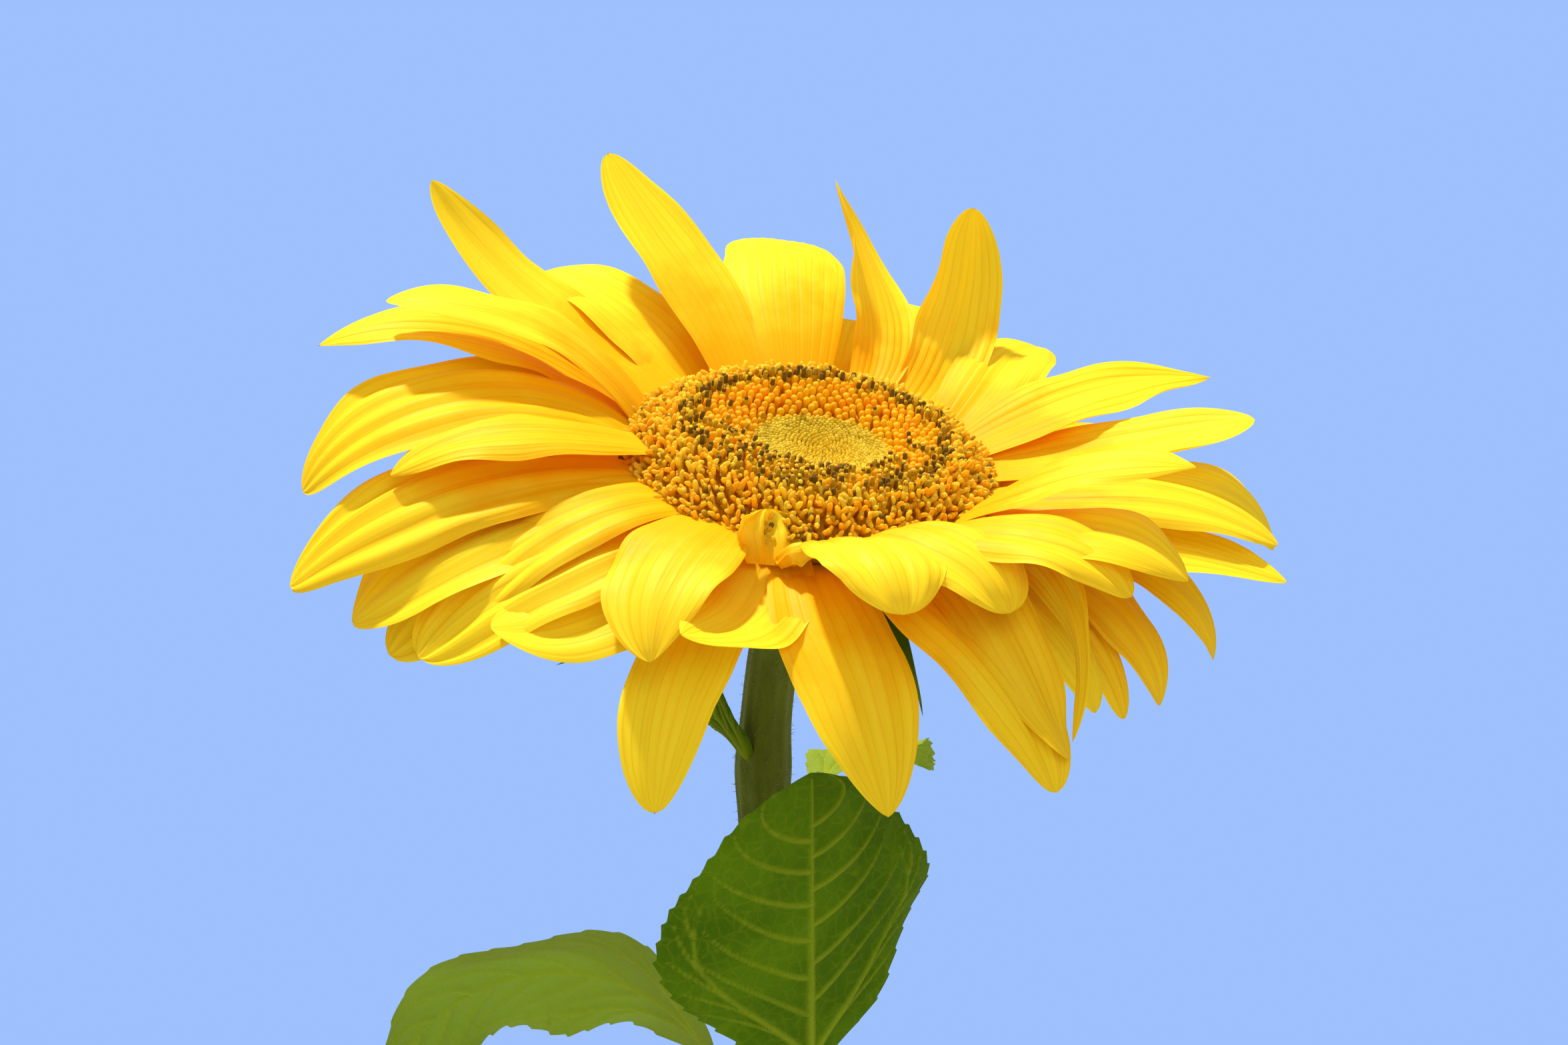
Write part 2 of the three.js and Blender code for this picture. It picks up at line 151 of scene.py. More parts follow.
def bladeShell(grid, thick):  # two skins that share their rim
    rows, columns = grid.shape[:2]
    v = np.linspace(-1, 1, columns)[None, :, None]
    s = np.linspace(0, 1, rows)[:, None, None]
    full = np.clip(6 * (1 - np.abs(v)), 0, 1) * np.clip(12 * (1 - s), 0, 1) * np.clip(12 * s, 0, 1)
    offset = 0.5 * thick * full * surfaceNormals(grid)
    number = np.arange(rows * columns).reshape(rows, columns)
    inner = number[1:-1, 1:-1].ravel()
    lower = number.ravel().copy()
    lower[inner] = rows * columns + np.arange(len(inner))
    faces = gridFaces(rows, columns)
    points = np.concatenate([(grid + offset).reshape(-1, 3), (grid - offset).reshape(-1, 3)[inner]])
    source = np.concatenate([np.arange(rows * columns), inner])
    return points, np.concatenate([faces[:, ::-1], lower[faces]]), source


def tubeRings(path, radius, sides):  # radius: one for each ring, or one for each ring and side
    along = unit(np.gradient(path, axis=0))
    side = unit(np.cross(along[0], [0.3, 1, 0.2]))
    radius = np.broadcast_to(np.asarray(radius, float).reshape(len(path), -1), (len(path), sides))
    angle = 2 * math.pi * np.arange(sides) / sides
    rings = []
    normals = []
    for i, centre in enumerate(path):
        side = unit(side - along[i] * (side @ along[i]))
        other = np.cross(along[i], side)
        out = np.cos(angle)[:, None] * side + np.sin(angle)[:, None] * other
        rings.append(centre + out * radius[i][:, None])
        normals.append(out)
    return np.array(rings), np.array(normals)


def tubeMesh(path, radius, sides):  # closed at both ends by a low cone
    rings, _ = tubeRings(path, radius, sides)
    return closeRings(rings)


def closeRings(rings):
    rows, sides = rings.shape[:2]
    faces = gridFaces(rows, sides, closed=True).tolist()
    points = np.concatenate([rings.reshape(-1, 3), [rings[0].mean(axis=0)], [rings[-1].mean(axis=0)]])
    first, last = rows * sides, rows * sides + 1
    for j in range(sides):
        k = (j + 1) % sides
        faces.append([first, k, j])
        faces.append([last, (rows - 1) * sides + j, (rows - 1) * sides + k])
    return points, faces


def turnedMesh(profile, sides):  # a profile of radius and height that starts and ends on the axis
    profile = np.array(profile, float)
    angle = 2 * math.pi * np.arange(sides) / sides
    ring = np.stack([np.cos(angle), np.sin(angle), 0 * angle], axis=1)
    rings = np.array([r * ring + h * upward for r, h in profile[1:-1]])
    points, faces = closeRings(rings)
    points[-2:] = [[0, 0, profile[0][1]], [0, 0, profile[-1][1]]]
    return points, faces


class Heap:  # many small shapes joined into one piece
    def __init__(self):
        self.points, self.faces, self.picks, self.total = [], [], [], 0

    def add(self, points, faces, pick=0):
        self.faces += [[k + self.total for k in f] for f in faces]
        self.picks += [pick] * len(faces)
        self.points.append(points)
        self.total += len(points)

    def piece(self, name, materials, slot, stands=()):
        points = np.concatenate(self.points)
        print("  ", name, len(self.faces), "faces")
        return addPiece(name, points, self.faces, materials, stands, picks=self.picks)


# shader groups

def newGroup(name, ins, outs):
    tree = bpy.data.node_groups.new(name, "ShaderNodeTree")
    for label, kind, value in ins:
        socket = tree.interface.new_socket(label, in_out="INPUT", socket_type=kind)
        if value is not None:
            socket.default_value = value
    for label, kind in outs:
        tree.interface.new_socket(label, in_out="OUTPUT", socket_type=kind)
    return tree, tree.nodes.new("NodeGroupInput"), tree.nodes.new("NodeGroupOutput")


def addNode(tree, kind, links=None, **settings):
    node = tree.nodes.new(kind)
    for key, value in settings.items():
        setattr(node, key, value)
    for key, value in (links or {}).items():
        if isinstance(value, bpy.types.NodeSocket):
            tree.links.new(value, node.inputs[key])
        else:
            node.inputs[key].default_value = value
    return node


def maths(tree, operation, a, b=0.0, clamp=False):
    return addNode(tree, "ShaderNodeMath", {0: a, 1: b}, operation=operation, use_clamp=clamp).outputs[0]


def ramp(tree, value, low, high, outLow=0.0, outHigh=1.0):
    links = {"Value": value, "From Min": low, "From Max": high, "To Min": outLow, "To Max": outHigh}
    return addNode(tree, "ShaderNodeMapRange", links, interpolation_type="SMOOTHSTEP").outputs["Result"]


def mixColour(tree, factor, a, b, blend="MIX"):
    node = addNode(tree, "ShaderNodeMix", data_type="RGBA", blend_type=blend)
    for socket, value in ((node.inputs[0], factor), (node.inputs[6], a), (node.inputs[7], b)):
        if isinstance(value, bpy.types.NodeSocket):
            tree.links.new(value, socket)
        else:
            socket.default_value = value
    return node.outputs[2]


def makeFibreGroup():  # fine lines along a blade: a mask and a height
    ins = [("Map", "NodeSocketVector", None), ("Lines", "NodeSocketFloat", 40.0),
           ("Run", "NodeSocketFloat", 2.0), ("Seed", "NodeSocketFloat", 0.0)]
    tree, into, out = newGroup("fibres", ins, [("Mask", "NodeSocketFloat"), ("Height", "NodeSocketFloat")])
    scale = addNode(tree, "ShaderNodeCombineXYZ", {0: into.outputs["Lines"], 1: into.outputs["Run"], 2: 1.0})
    stretched = addNode(tree, "ShaderNodeVectorMath", {0: into.outputs["Map"], 1: scale.outputs[0]},
                        operation="MULTIPLY")
    links = {"Vector": stretched.outputs[0], "W": into.outputs["Seed"], "Scale": 1.0, "Detail": 3.0,
             "Roughness": 0.6}
    noise = addNode(tree, "ShaderNodeTexNoise", links, noise_dimensions="4D")
    tree.links.new(ramp(tree, noise.outputs["Fac"], 0.36, 0.66), out.inputs["Mask"])
    tree.links.new(noise.outputs["Fac"], out.inputs["Height"])
    return tree


def makeMottleGroup():  # soft patches of tone, in object space
    ins = [("Scale", "NodeSocketFloat", 40.0), ("Low", "NodeSocketFloat", 0.4),
           ("High", "NodeSocketFloat", 0.6)]
    tree, into, out = newGroup("mottle", ins, [("Mask", "NodeSocketFloat"), ("Height", "NodeSocketFloat")])
    place = addNode(tree, "ShaderNodeTexCoord")
    links = {"Vector": place.outputs["Object"], "Scale": into.outputs["Scale"], "Detail": 4.0,
             "Roughness": 0.55}
    noise = addNode(tree, "ShaderNodeTexNoise", links)
    links = {"Value": noise.outputs["Fac"], "From Min": into.outputs["Low"],
             "From Max": into.outputs["High"]}
    mask = addNode(tree, "ShaderNodeMapRange", links, interpolation_type="SMOOTHSTEP")
    tree.links.new(mask.outputs["Result"], out.inputs["Mask"])
    tree.links.new(noise.outputs["Fac"], out.inputs["Height"])
    return tree


def makeNetGroup():  # the net of fine veins between a leaf's nerves
    ins = [("Map", "NodeSocketVector", None), ("Cells", "NodeSocketFloat", 30.0)]
    tree, into, out = newGroup("net", ins, [("Mask", "NodeSocketFloat"), ("Height", "NodeSocketFloat")])
    total = 0.0
    for times, share in ((1.0, 0.6), (2.7, 0.4)):
        cells = maths(tree, "MULTIPLY", into.outputs["Cells"], times)
        links = {"Vector": into.outputs["Map"], "Scale": cells, "Randomness": 0.9}
        net = addNode(tree, "ShaderNodeTexVoronoi", links, feature="DISTANCE_TO_EDGE")
        line = ramp(tree, net.outputs["Distance"], 0.0, 0.10, 1.0, 0.0)
        total = maths(tree, "ADD", maths(tree, "MULTIPLY", line, share), total)
    tree.links.new(total, out.inputs["Mask"])
    tree.links.new(total, out.inputs["Height"])
    return tree


def makeVeinGroup():  # a few clear lines along a blade
    ins = [("Map", "NodeSocketVector", None), ("Count", "NodeSocketFloat", 7.0),
           ("Wobble", "NodeSocketFloat", 0.5)]
    tree, into, out = newGroup("veins", ins, [("Mask", "NodeSocketFloat"), ("Height", "NodeSocketFloat")])
    across = addNode(tree, "ShaderNodeSeparateXYZ", {0: into.outputs["Map"]}).outputs[0]
    links = {"Vector": into.outputs["Map"], "Scale": 2.2, "Detail": 1.0}
    noise = addNode(tree, "ShaderNodeTexNoise", links).outputs["Fac"]
    shift = maths(tree, "MULTIPLY", noise, into.outputs["Wobble"])
    place = maths(tree, "ADD", maths(tree, "MULTIPLY", across, into.outputs["Count"]), shift)
    line = ramp(tree, maths(tree, "PINGPONG", place, 0.5), 0.0, 0.17, 1.0, 0.0)
    tree.links.new(line, out.inputs["Mask"])
    tree.links.new(line, out.inputs["Height"])
    return tree


fibres = makeFibreGroup()
veins = makeVeinGroup()
mottle = makeMottleGroup()
veinNet = makeNetGroup()


def useGroup(tree, group, links):
    return addNode(tree, "ShaderNodeGroup", links, node_tree=group)


def newMaterial(name, colour, roughness, through=None, share=0.0, specular=0.4):
    material = bpy.data.materials.new(name)
    material.use_nodes = True
    material.diffuse_color = colour
    tree = material.node_tree
    tree.nodes.clear()
    out = tree.nodes.new("ShaderNodeOutputMaterial")
    links = {"Base Color": colour, "Roughness": roughness, "Specular IOR Level": specular}
    surface = addNode(tree, "ShaderNodeBsdfPrincipled", links)
    if through is None:
        tree.links.new(surface.outputs[0], out.inputs["Surface"])
        return material, tree, surface, None
    glow = addNode(tree, "ShaderNodeBsdfTranslucent", {"Color": through})
    both = addNode(tree, "ShaderNodeMixShader", {0: share, 1: surface.outputs[0], 2: glow.outputs[0]})
    tree.links.new(both.outputs[0], out.inputs["Surface"])
    return material, tree, surface, glow


def bumpFrom(tree, surface, height, strength, distance):
    links = {"Height": height, "Strength": strength, "Distance": distance * mm}
    bump = addNode(tree, "ShaderNodeBump", links)
    tree.links.new(bump.outputs[0], surface.inputs["Normal"])


def rgb(r, g, b):  # a colour as seen on a screen, 0 to 255, as the shader wants it
    parts = [c / 255 for c in (r, g, b)]
    return tuple(((c + 0.055) / 1.055) ** 2.4 if c > 0.04 else c / 12.92 for c in parts) + (1.0,)


# the head: its place and tilt, and the tilt's matrix

headShape = {
    "place": (30, -55, 1085),
    "nod": 37,  # degrees that the face tips towards the front
    "lean": 9,  # degrees that the face tips sideways
    "rimRadius": 50,
    "rowDrop": 6,  # each row of petals starts this much lower
}
headTurn = (turnAbout((0, 1, 0), math.radians(headShape["lean"]))
            @ turnAbout((1, 0, 0), math.radians(headShape["nod"])))


def headToPlant(points):
    return np.asarray(points) @ headTurn.T + np.array(headShape["place"])


# petals

petalLook = {
    "steps": 64,
    "across": 36,
    "thick": 0.45,
    "rootShare": 0.55,  # width at the root as a share of the greatest
    "ridge": 0.34,  # height of the broad folds
    "fineRidge": 0.13,
    "ruffle": 1.1,  # how far the margins wave
    "nick": 0.35,  # how far the outline wanders
    "nicks": 9,
    "reach": 0.38,  # pull of each end of the middle line, as a share of its chord
    "crowd": 0.45,  # how much closer the steps stand towards the tip
    "fineRidges": 9,
    "veins": 9,
    "lemon": rgb(255, 240, 50),
    "gold": rgb(255, 204, 6),
    "line": rgb(242, 190, 2),
    "through": rgb(255, 226, 0),
    "share": 0.42,
}

# Nearly anticlockwise round the disc as seen from its face. at: degrees round the rim; tip: where
# the petal ends; lift and aim: how it sets out, fall and veer: how it ends, in degrees up and
# sideways; wide: its greatest width; cup: how far its section curls; row: how many rows below
# the middle one it starts; roll: turn about its own line at root, middle and tip; peak: where it
# is widest; point: how blunt it ends, below 1; crease: how strong its folds are.
petals = [
    dict(at=6, tip=(134, 6, -9), lift=20, fall=-65, wide=34, cup=-20, row=1, point=0.5),
    dict(at=13, tip=(123, 22, 22), lift=12, fall=20, wide=30, cup=30, point=0.6),
    dict(at=28, tip=(112, 64, 14), lift=25, fall=-5, wide=28, cup=30, peak=0.4, point=1),
    dict(at=44, tip=(61, 92, 3), lift=30, fall=-20, wide=28, cup=20, row=1, point=0.5),
    dict(at=59, tip=(36, 95, 43), lift=5, fall=70, veer=20, wide=25, cup=50, roll=(0, 20, 20), point=0.55),
    dict(at=71, tip=(29, 108, 2), lift=35, fall=-30, wide=21, cup=25, row=1, point=0.5, crease=0.5),
    dict(at=76, tip=(-6, 98, 44), lift=25, fall=55, aim=-15, veer=30, wide=21, cup=40, roll=(0, 20, 50)),
    dict(at=100, tip=(-21, 120, 10), lift=40, fall=-44, aim=4, veer=-8, wide=37, cup=-30, point=0.52,
         crease=0.2),
    dict(at=118, tip=(-74, 94, 43), lift=35, fall=36, wide=28, cup=25, point=0.55, crease=0.4),
    dict(at=131, tip=(-86, 72, 12), lift=30, fall=-10, wide=34, cup=20, row=1, point=0.5, crease=0.5),
    dict(at=147, tip=(-119, 46, 46), lift=17, fall=53, wide=32, cup=19, roll=(0, 0, -12), point=0.7,
         crease=0.6),
    dict(at=160, tip=(-141, 5, 8), lift=30, fall=-35, wide=28, cup=-20, row=1),
    dict(at=167, tip=(-123, 5, 25), lift=50, fall=-15, wide=25, cup=-20, point=0.6),
    dict(at=180, tip=(-137, -26, -22), lift=35, fall=-70, wide=38, cup=-20, roll=(0, -6, -8), point=0.55,
         crease=1.3),
    dict(at=199, tip=(-111, -40, -6), lift=14, fall=-45, aim=12, wide=25, cup=-20, row=-1),
    dict(at=205, tip=(-134, -52, -38), lift=10, fall=-58, aim=-5, veer=-15, wide=40, cup=-26,
         roll=(0, -10, -10), point=0.5, crease=1.8),
    dict(at=212, tip=(-115, -60, -41), lift=12, fall=-60, aim=-5, veer=-20, wide=43, cup=-24, row=1,
         roll=(0, -4, -8), peak=0.58, point=0.52, crease=1.8),
    dict(at=222, tip=(-103, -67, -46), lift=15, fall=-54, aim=-7, veer=-5, wide=41, cup=-22,
         roll=(0, 0, -16), point=0.55, crease=1.8),
    dict(at=232, tip=(-93, -80, -38), lift=18, fall=-50, wide=42, cup=-20, row=1, roll=(0, -8, -14),
         point=0.55, crease=1.5),
    dict(at=244, tip=(-74, -88, -21), lift=14, fall=7, aim=-4, veer=-16, wide=40, cup=-26, row=1,
         roll=(0, -12, -6), peak=0.42, point=0.6),
    dict(at=246, tip=(-30, -100, -17), lift=14, fall=-48, aim=4, veer=40, wide=34, cup=-26,
         roll=(0, 10, 28), peak=0.42, point=0.75),
    dict(at=256, tip=(-23, -117, -52), lift=-10, fall=-58, veer=32, wide=27, cup=-25, row=1, peak=0.38,
         point=0.5),
    dict(at=264, tip=(-23, -103, -6), lift=-33, fall=16, aim=17, veer=-28, wide=31, cup=14),
    dict(at=277, tip=(37, -112, -45), lift=10, fall=-60, wide=35, cup=-25, row=1, point=0.8),
    dict(at=285, tip=(33, -92, 4), lift=40, fall=-60, wide=34, cup=-30, point=0.5),
    dict(at=298, tip=(80, -98, -38), lift=15, fall=-65, wide=32, cup=-25, row=1, point=0.6),
    dict(at=299, tip=(61, -76, 1), lift=60, fall=-65, wide=36, cup=-40, point=0.55),
    dict(at=309, tip=(82, -92, -31), lift=32, fall=-49, aim=16, veer=24, wide=25, cup=-23, row=1,
         roll=(0, 8, -16), peak=0.46, point=0.52),
    dict(at=311, tip=(92, -66, 6), lift=35, fall=-50, wide=32, cup=-30, point=0.55),
    dict(at=331, tip=(82, -93, -25), lift=24, fall=-57, aim=26, veer=-45, wide=13, cup=-20, row=1,
         roll=(0, 70, 63), point=0.8),
    dict(at=322, tip=(107, -56, 8), lift=22, fall=-40, wide=36, cup=-20),
    dict(at=334, tip=(105, -36, 32), lift=45, fall=0, wide=27, cup=-30),
    dict(at=336, tip=(98, -44, -43), lift=-5, fall=-75, wide=22, cup=-25, row=1, point=0.6),
    dict(at=342, tip=(136, -26, -3), lift=15, fall=-15, wide=30, cup=-20, row=1),
    dict(at=346, tip=(108, -31, -44), lift=-5, fall=-80, wide=27, cup=-25, row=1, point=0.6),
    dict(at=350, tip=(133, -12, 1), lift=20, fall=-30, wide=29, cup=-20, point=0.6),
    dict(at=356, tip=(121, -19, -34), lift=-5, fall=-80, wide=21, cup=-25, row=1, point=0.6),
]

# small ones with no solid of their own; start: where the petal begins, if not on the rim
morePetals = [
    dict(at=20, tip=(88, 50, 0), lift=10, fall=5, wide=26, cup=15, row=1, point=0.6),
    dict(at=330, tip=(89, -56, -36), lift=-10, fall=-75, wide=20, cup=-25, row=1, point=0.6),
    dict(at=87, tip=(6, 86, 5), lift=20, fall=0, wide=28, cup=15, row=1, point=0.5, crease=0.4),
    dict(at=153, tip=(-82, 38, 4), lift=15, fall=0, wide=24, cup=15, row=1, point=0.5),
    dict(at=100, tip=(-7.5, -48, 6), start=(-4, -59, -5), lift=58, fall=66, wide=24, cup=50,
         roll=(0, 15, 25), point=0.5, crease=3, tone=0),
    dict(at=30, tip=(9, -56, -1), start=(-3, -58.5, -4), lift=50, fall=-30, wide=14, cup=-50,
         roll=(0, -20, -20), point=0.5, crease=3, tone=0),
]


def petalMaterial(name, warm):
    look = petalLook
    material, tree, surface, glow = newMaterial(name, look["lemon"], 0.5, look["through"], look["share"],
                                                0.12)
    flat = addNode(tree, "ShaderNodeUVMap", uv_map="bladeMap").outputs[0]
    along = addNode(tree, "ShaderNodeSeparateXYZ", {0: flat}).outputs[1]
    soft = useGroup(tree, mottle, {"Scale": 55.0, "Low": 0.35, "High": 0.7})
    drift = maths(tree, "MULTIPLY", soft.outputs["Mask"], 0.25)
    shifted = maths(tree, "SUBTRACT", along, drift)
    root = ramp(tree, shifted, 0.0, 0.5 + 0.3 * warm, 1.0, 0.25 * warm)
    colour = mixColour(tree, root, look["lemon"], look["gold"])
    fine = useGroup(tree, fibres, {"Map": flat, "Lines": 46.0, "Run": 2.2, "Seed": 3.0 * warm})
    broad = useGroup(tree, fibres, {"Map": flat, "Lines": 13.0, "Run": 1.2, "Seed": 7.0 + warm})
    vein = useGroup(tree, veins, {"Map": flat, "Count": look["veins"], "Wobble": 0.9})
    wide = maths(tree, "MULTIPLY", broad.outputs["Mask"], 0.22)
    colour = mixColour(tree, wide, colour, look["gold"])
    streak = maths(tree, "MULTIPLY", fine.outputs["Mask"], 0.16)
    colour = mixColour(tree, streak, colour, look["line"])
    drawn = maths(tree, "MULTIPLY", vein.outputs["Mask"], 0.27)
    colour = mixColour(tree, drawn, colour, look["line"])
    tree.links.new(colour, surface.inputs["Base Color"])
    lit = mixColour(tree, 1.0, colour, (1.0, 0.93, 0.12, 1.0), "MULTIPLY")
    tree.links.new(lit, glow.inputs["Color"])
    tree.links.new(ramp(tree, fine.outputs["Height"], 0.3, 0.7, 0.46, 0.60), surface.inputs["Roughness"])
    height = maths(tree, "ADD", fine.outputs["Height"], broad.outputs["Height"])
    height = maths(tree, "SUBTRACT", height, maths(tree, "MULTIPLY", vein.outputs["Mask"], 0.8))
    bumpFrom(tree, surface, height, 0.35, 0.25)
    return material


petalTones = [petalMaterial("petal_lemon", 0.0), petalMaterial("petal_warm", 0.5),
              petalMaterial("petal_gold", 1.0)]


def bladeFrame(along, roll):
    level = unit(np.cross(upward, along))
    steep = np.cross(along, level)
    turn = np.radians(roll)[:, None]
    side = level * np.cos(turn) + steep * np.sin(turn)
    return side, np.cross(along, side)


def bladeGrid(centre, side, face, half, bend, columns):  # curls each section of a flat blade into an arc
    v = np.linspace(-1, 1, columns)
    w = half[:, None] * v[None, :]
    x = np.sin(bend * w) / bend
    rise = (1 - np.cos(bend * w)) / bend
    grid = centre[:, None] + x[..., None] * side[:, None] + rise[..., None] * face[:, None]
    out = np.cos(bend * w)[..., None] * face[:, None] - np.sin(bend * w)[..., None] * side[:, None]
    return grid, out, w


def arcLine(start, heading, pitch, long):  # a middle line with a pitch for each of its steps
    steps = np.array([direction(heading, p) for p in pitch]) * long / (len(pitch) - 1)
    centre = start + np.concatenate([np.zeros((1, 3)), np.cumsum(steps[:-1], axis=0)])
    return centre, unit(np.gradient(centre, axis=0))


def petalGrid(petal, dice):
    look = petalLook
    at, tip, lift, fall = petal["at"], np.array(petal["tip"], float), petal["lift"], petal["fall"]
    row, peak, point = petal.get("row", 0), petal.get("peak", 0.5), petal.get("point", 0.75)
    root = direction(at, 0) * (headShape["rimRadius"] - 2) - upward * (2 + headShape["rowDrop"] * row)
    root = np.array(petal.get("start", root), float)
    chord = tip - root
    reach = look["reach"] * np.linalg.norm(chord)
    heading = math.degrees(math.atan2(chord[1], chord[0]))
    setOut = root + direction(at + petal.get("aim", 0), lift) * reach
    arrive = tip - direction(heading + petal.get("veer", 0), fall) * reach
    s = np.linspace(0, 1, look["steps"] + 1)
    s = (1 - look["crowd"]) * s + look["crowd"] * np.sin(math.pi / 2 * s)
    centre, along = bezier(root, setOut, arrive, tip, s)
    side, face = bladeFrame(along, through(petal.get("roll", (0, 0, 0)), s))
    half = outline(petal["wide"], look["rootShare"], peak, point, s)
    middle = outline(petal["wide"], look["rootShare"], peak, point, np.array([0.5]))[0]
    bend = math.radians(petal["cup"]) / (2 * middle)
    grid, out, w = bladeGrid(centre, side, face, half, bend, look["across"] + 1)
    v = np.linspace(-1, 1, look["across"] + 1)[None, :]
    t = s[:, None]
    swell = np.sin(math.pi * np.clip(t, 0, 1)) ** 0.6
    crease = petal.get("crease", 1)
    folds = dice.integers(2, 4) + (crease > 1)
    phase = dice.uniform(0, 2 * math.pi)
    broad = np.cos(folds * math.pi * v + phase + 0.8 * np.sin(3 * t + phase))
    fine = np.cos(look["fineRidges"] * math.pi * v + 2 * phase)
    wave = np.sin(2 * math.pi * (dice.uniform(1.6, 2.6) * t + dice.uniform(0, 1)))
    other = np.sin(2 * math.pi * (dice.uniform(1.6, 2.6) * t + dice.uniform(0, 1)))
    ruffle = look["ruffle"] * (np.clip(v, 0, 1) ** 3 * wave + np.clip(-v, 0, 1) ** 3 * other)
    ruffle = ruffle * smoothStep(0.1, 0.5, t) * min(1, 0.4 + 0.6 * crease)
    lump = swell * (look["ridge"] * crease * broad * (1 + 1.2 * t) + look["fineRidge"] * fine + ruffle)
    grid = grid + lump[..., None] * out
    knots = dice.normal(0, 1, (2, look["nicks"]))
    for sign, nicks in ((1, knots[0]), (-1, knots[1])):
        nudge = np.interp(s, np.linspace(0, 1, look["nicks"]), nicks) * smoothStep(0.1, 0.4, s)
        nudge = look["nick"] * nudge[:, None] * sign * np.clip(sign * v, 0, 1)
        grid = grid + nudge[..., None] * side[:, None]
    u = np.broadcast_to(v * 0.5 + 0.5, w.shape)
    coords = np.stack([u + dice.integers(0, 40), np.broadcast_to(t, w.shape)], axis=-1)
    return grid, coords


def buildPetal(name, petal, stands=()):
    dice = np.random.default_rng(900 + int(petal["at"]))
    grid, coords = petalGrid(petal, dice)
    points, faces, source = bladeShell(headToPlant(grid), petalLook["thick"])
    tone = petalTones[petal.get("tone", int(dice.choice(3, p=(0.6, 0.3, 0.1))))]
    addPiece(name, points, faces, [tone], stands, coords=coords.reshape(-1, 2)[source],
             sharp=rimAngle)


for number, petal in enumerate(petals, 1):
    buildPetal(f"ray_{number:02d}", petal, [f"petal_{number:02d}"])
for number, petal in enumerate(morePetals, 1):
    buildPetal(f"ray_small_{number}", petal)
print("petals:", len(petals) + len(morePetals))


# disc

discShape = {
    # radius and height of the envelope of the florets' tops
    "profile": [(0, 0.2), (8, 0.6), (16, 1.6), (20, 3.2), (24, 5.6), (28, 7.4), (33, 8.4), (37, 8.0),
                (41, 6.6), (45, 4.4), (49, 1.2), (52.5, -3)],
    "offset": (4.0, 1.5, 0),  # the sunken middle lies this far off the axis
    "fade": 52.5,  # that offset shrinks to nothing at this radius
    "sink": 4.5,  # the florets stand this deep in the envelope
    "frontRise": 2.6,  # the innermost stand this much taller at the front
    "rim": 51.5,
    "spacing": 2.25,
    "splay": 0.7,  # how far those near the rim lean out
    "budSpacing": 1.15,
    "budRadius": 20.5,  # green buds inside this
    "budSink": 1.9,
    "bowlSink": 1.4,
    "crest": 36.5,  # ring of dark anthers
    "corollas": ((5.4, 1.12, 0.0), (4.8, 1.2, 0.0), (5.2, 1.06, 0.3)),  # height, radius, open mouth
    "corollaScale": (0.85, 0.95),  # outside the crest and inside it
    "anthers": ((4.0, 0.8), (3.6, 0.86), (4.4, 0.74)),  # height and radius
    "antherScale": ((0.75, 0.95), (0.7, 0.9)),  # outside the crest and inside it
    "antherLift": 3.0,
    "styleLift": (1.6, 2.4),  # outermost, and next to the crest
    "styleKinds": 14,
    "styleReach": (3.6, 5.4),
    "styleCurl": (0.1, 1.5),
    "styleLean": (0.05, 0.3),
    "styleRadius": (0.66, 0.84),
}

discLook = {  # name, colour, and colour of the light that comes through
    "gold": [("style_gold", rgb(255, 232, 66), rgb(255, 224, 20)),
             ("style_tan", rgb(255, 222, 48), rgb(255, 212, 12)),
             ("style_ochre", rgb(255, 210, 32), rgb(255, 198, 6))],
    "orange": [("corolla_orange", rgb(255, 214, 16), rgb(255, 194, 0)),
               ("corolla_deep", rgb(255, 206, 10), rgb(255, 184, 0)),
               ("corolla_yellow", rgb(255, 222, 26), rgb(255, 204, 0))],
    "dark": [("anther_dark", rgb(116, 84, 2), None),
             ("anther_olive", rgb(188, 144, 4), None)],
    "pollen": [("pollen_ball", rgb(255, 196, 50), None),
               ("pollen_gold", rgb(255, 214, 50), None)],
    "green": [("bud_green", rgb(246, 222, 64), rgb(250, 220, 16)),
              ("bud_olive", rgb(232, 206, 50), rgb(244, 212, 12)),
              ("bud_lime", rgb(252, 232, 84), rgb(254, 228, 30))],
    "bed": rgb(224, 160, 16),
}


def discHeight(r):
    profile = np.array(discShape["profile"], float)
    return np.interp(r, profile[:, 0], profile[:, 1])


def discShift(r):  # fades from the whole offset in the middle to none at the rim
    fade = np.clip(1 - (np.asarray(r, float) / discShape["fade"]) ** 2, 0, 1)
    return fade[..., None] * np.array(discShape["offset"])


def discNormal(r, angle):
    slope = (discHeight(r + 2.0) - discHeight(max(r - 2.0, 0))) / 4.0
    out = np.array([math.cos(angle), math.sin(angle), 0])
    return unit(upward - slope * out), out


def tinted(name, colour, roughness, grain=900.0, strength=0.5, through=None, share=0.0):
    material, tree, surface, _ = newMaterial(name, colour, roughness, through, share, 0.25)
    grit = useGroup(tree, mottle, {"Scale": grain, "Low": 0.35, "High": 0.65})
    dark = tuple(0.8 * c for c in colour[:3]) + (1.0,)
    tree.links.new(mixColour(tree, grit.outputs["Mask"], colour, dark), surface.inputs["Base Color"])
    bumpFrom(tree, surface, grit.outputs["Height"], strength, 0.3)
    return material


def tintedSet(kind, roughness, grain=900.0, strength=0.5, share=0.0):
    return [tinted(name, colour, roughness, grain, strength, lit, share)
            for name, colour, lit in discLook[kind]]


goldTones = tintedSet("gold", 0.8, share=0.5)
orangeTones = tintedSet("orange", 0.55, 500, 0.2, 0.5)
darkTones = tintedSet("dark", 0.8, 700, 0.2)
pollenTones = tintedSet("pollen", 0.85)
greenTones = tintedSet("green", 0.8, 600, 0.1, 0.45)
bedMaterial = tinted("disc_bed", discLook["bed"], 0.9, 400, 0.6)


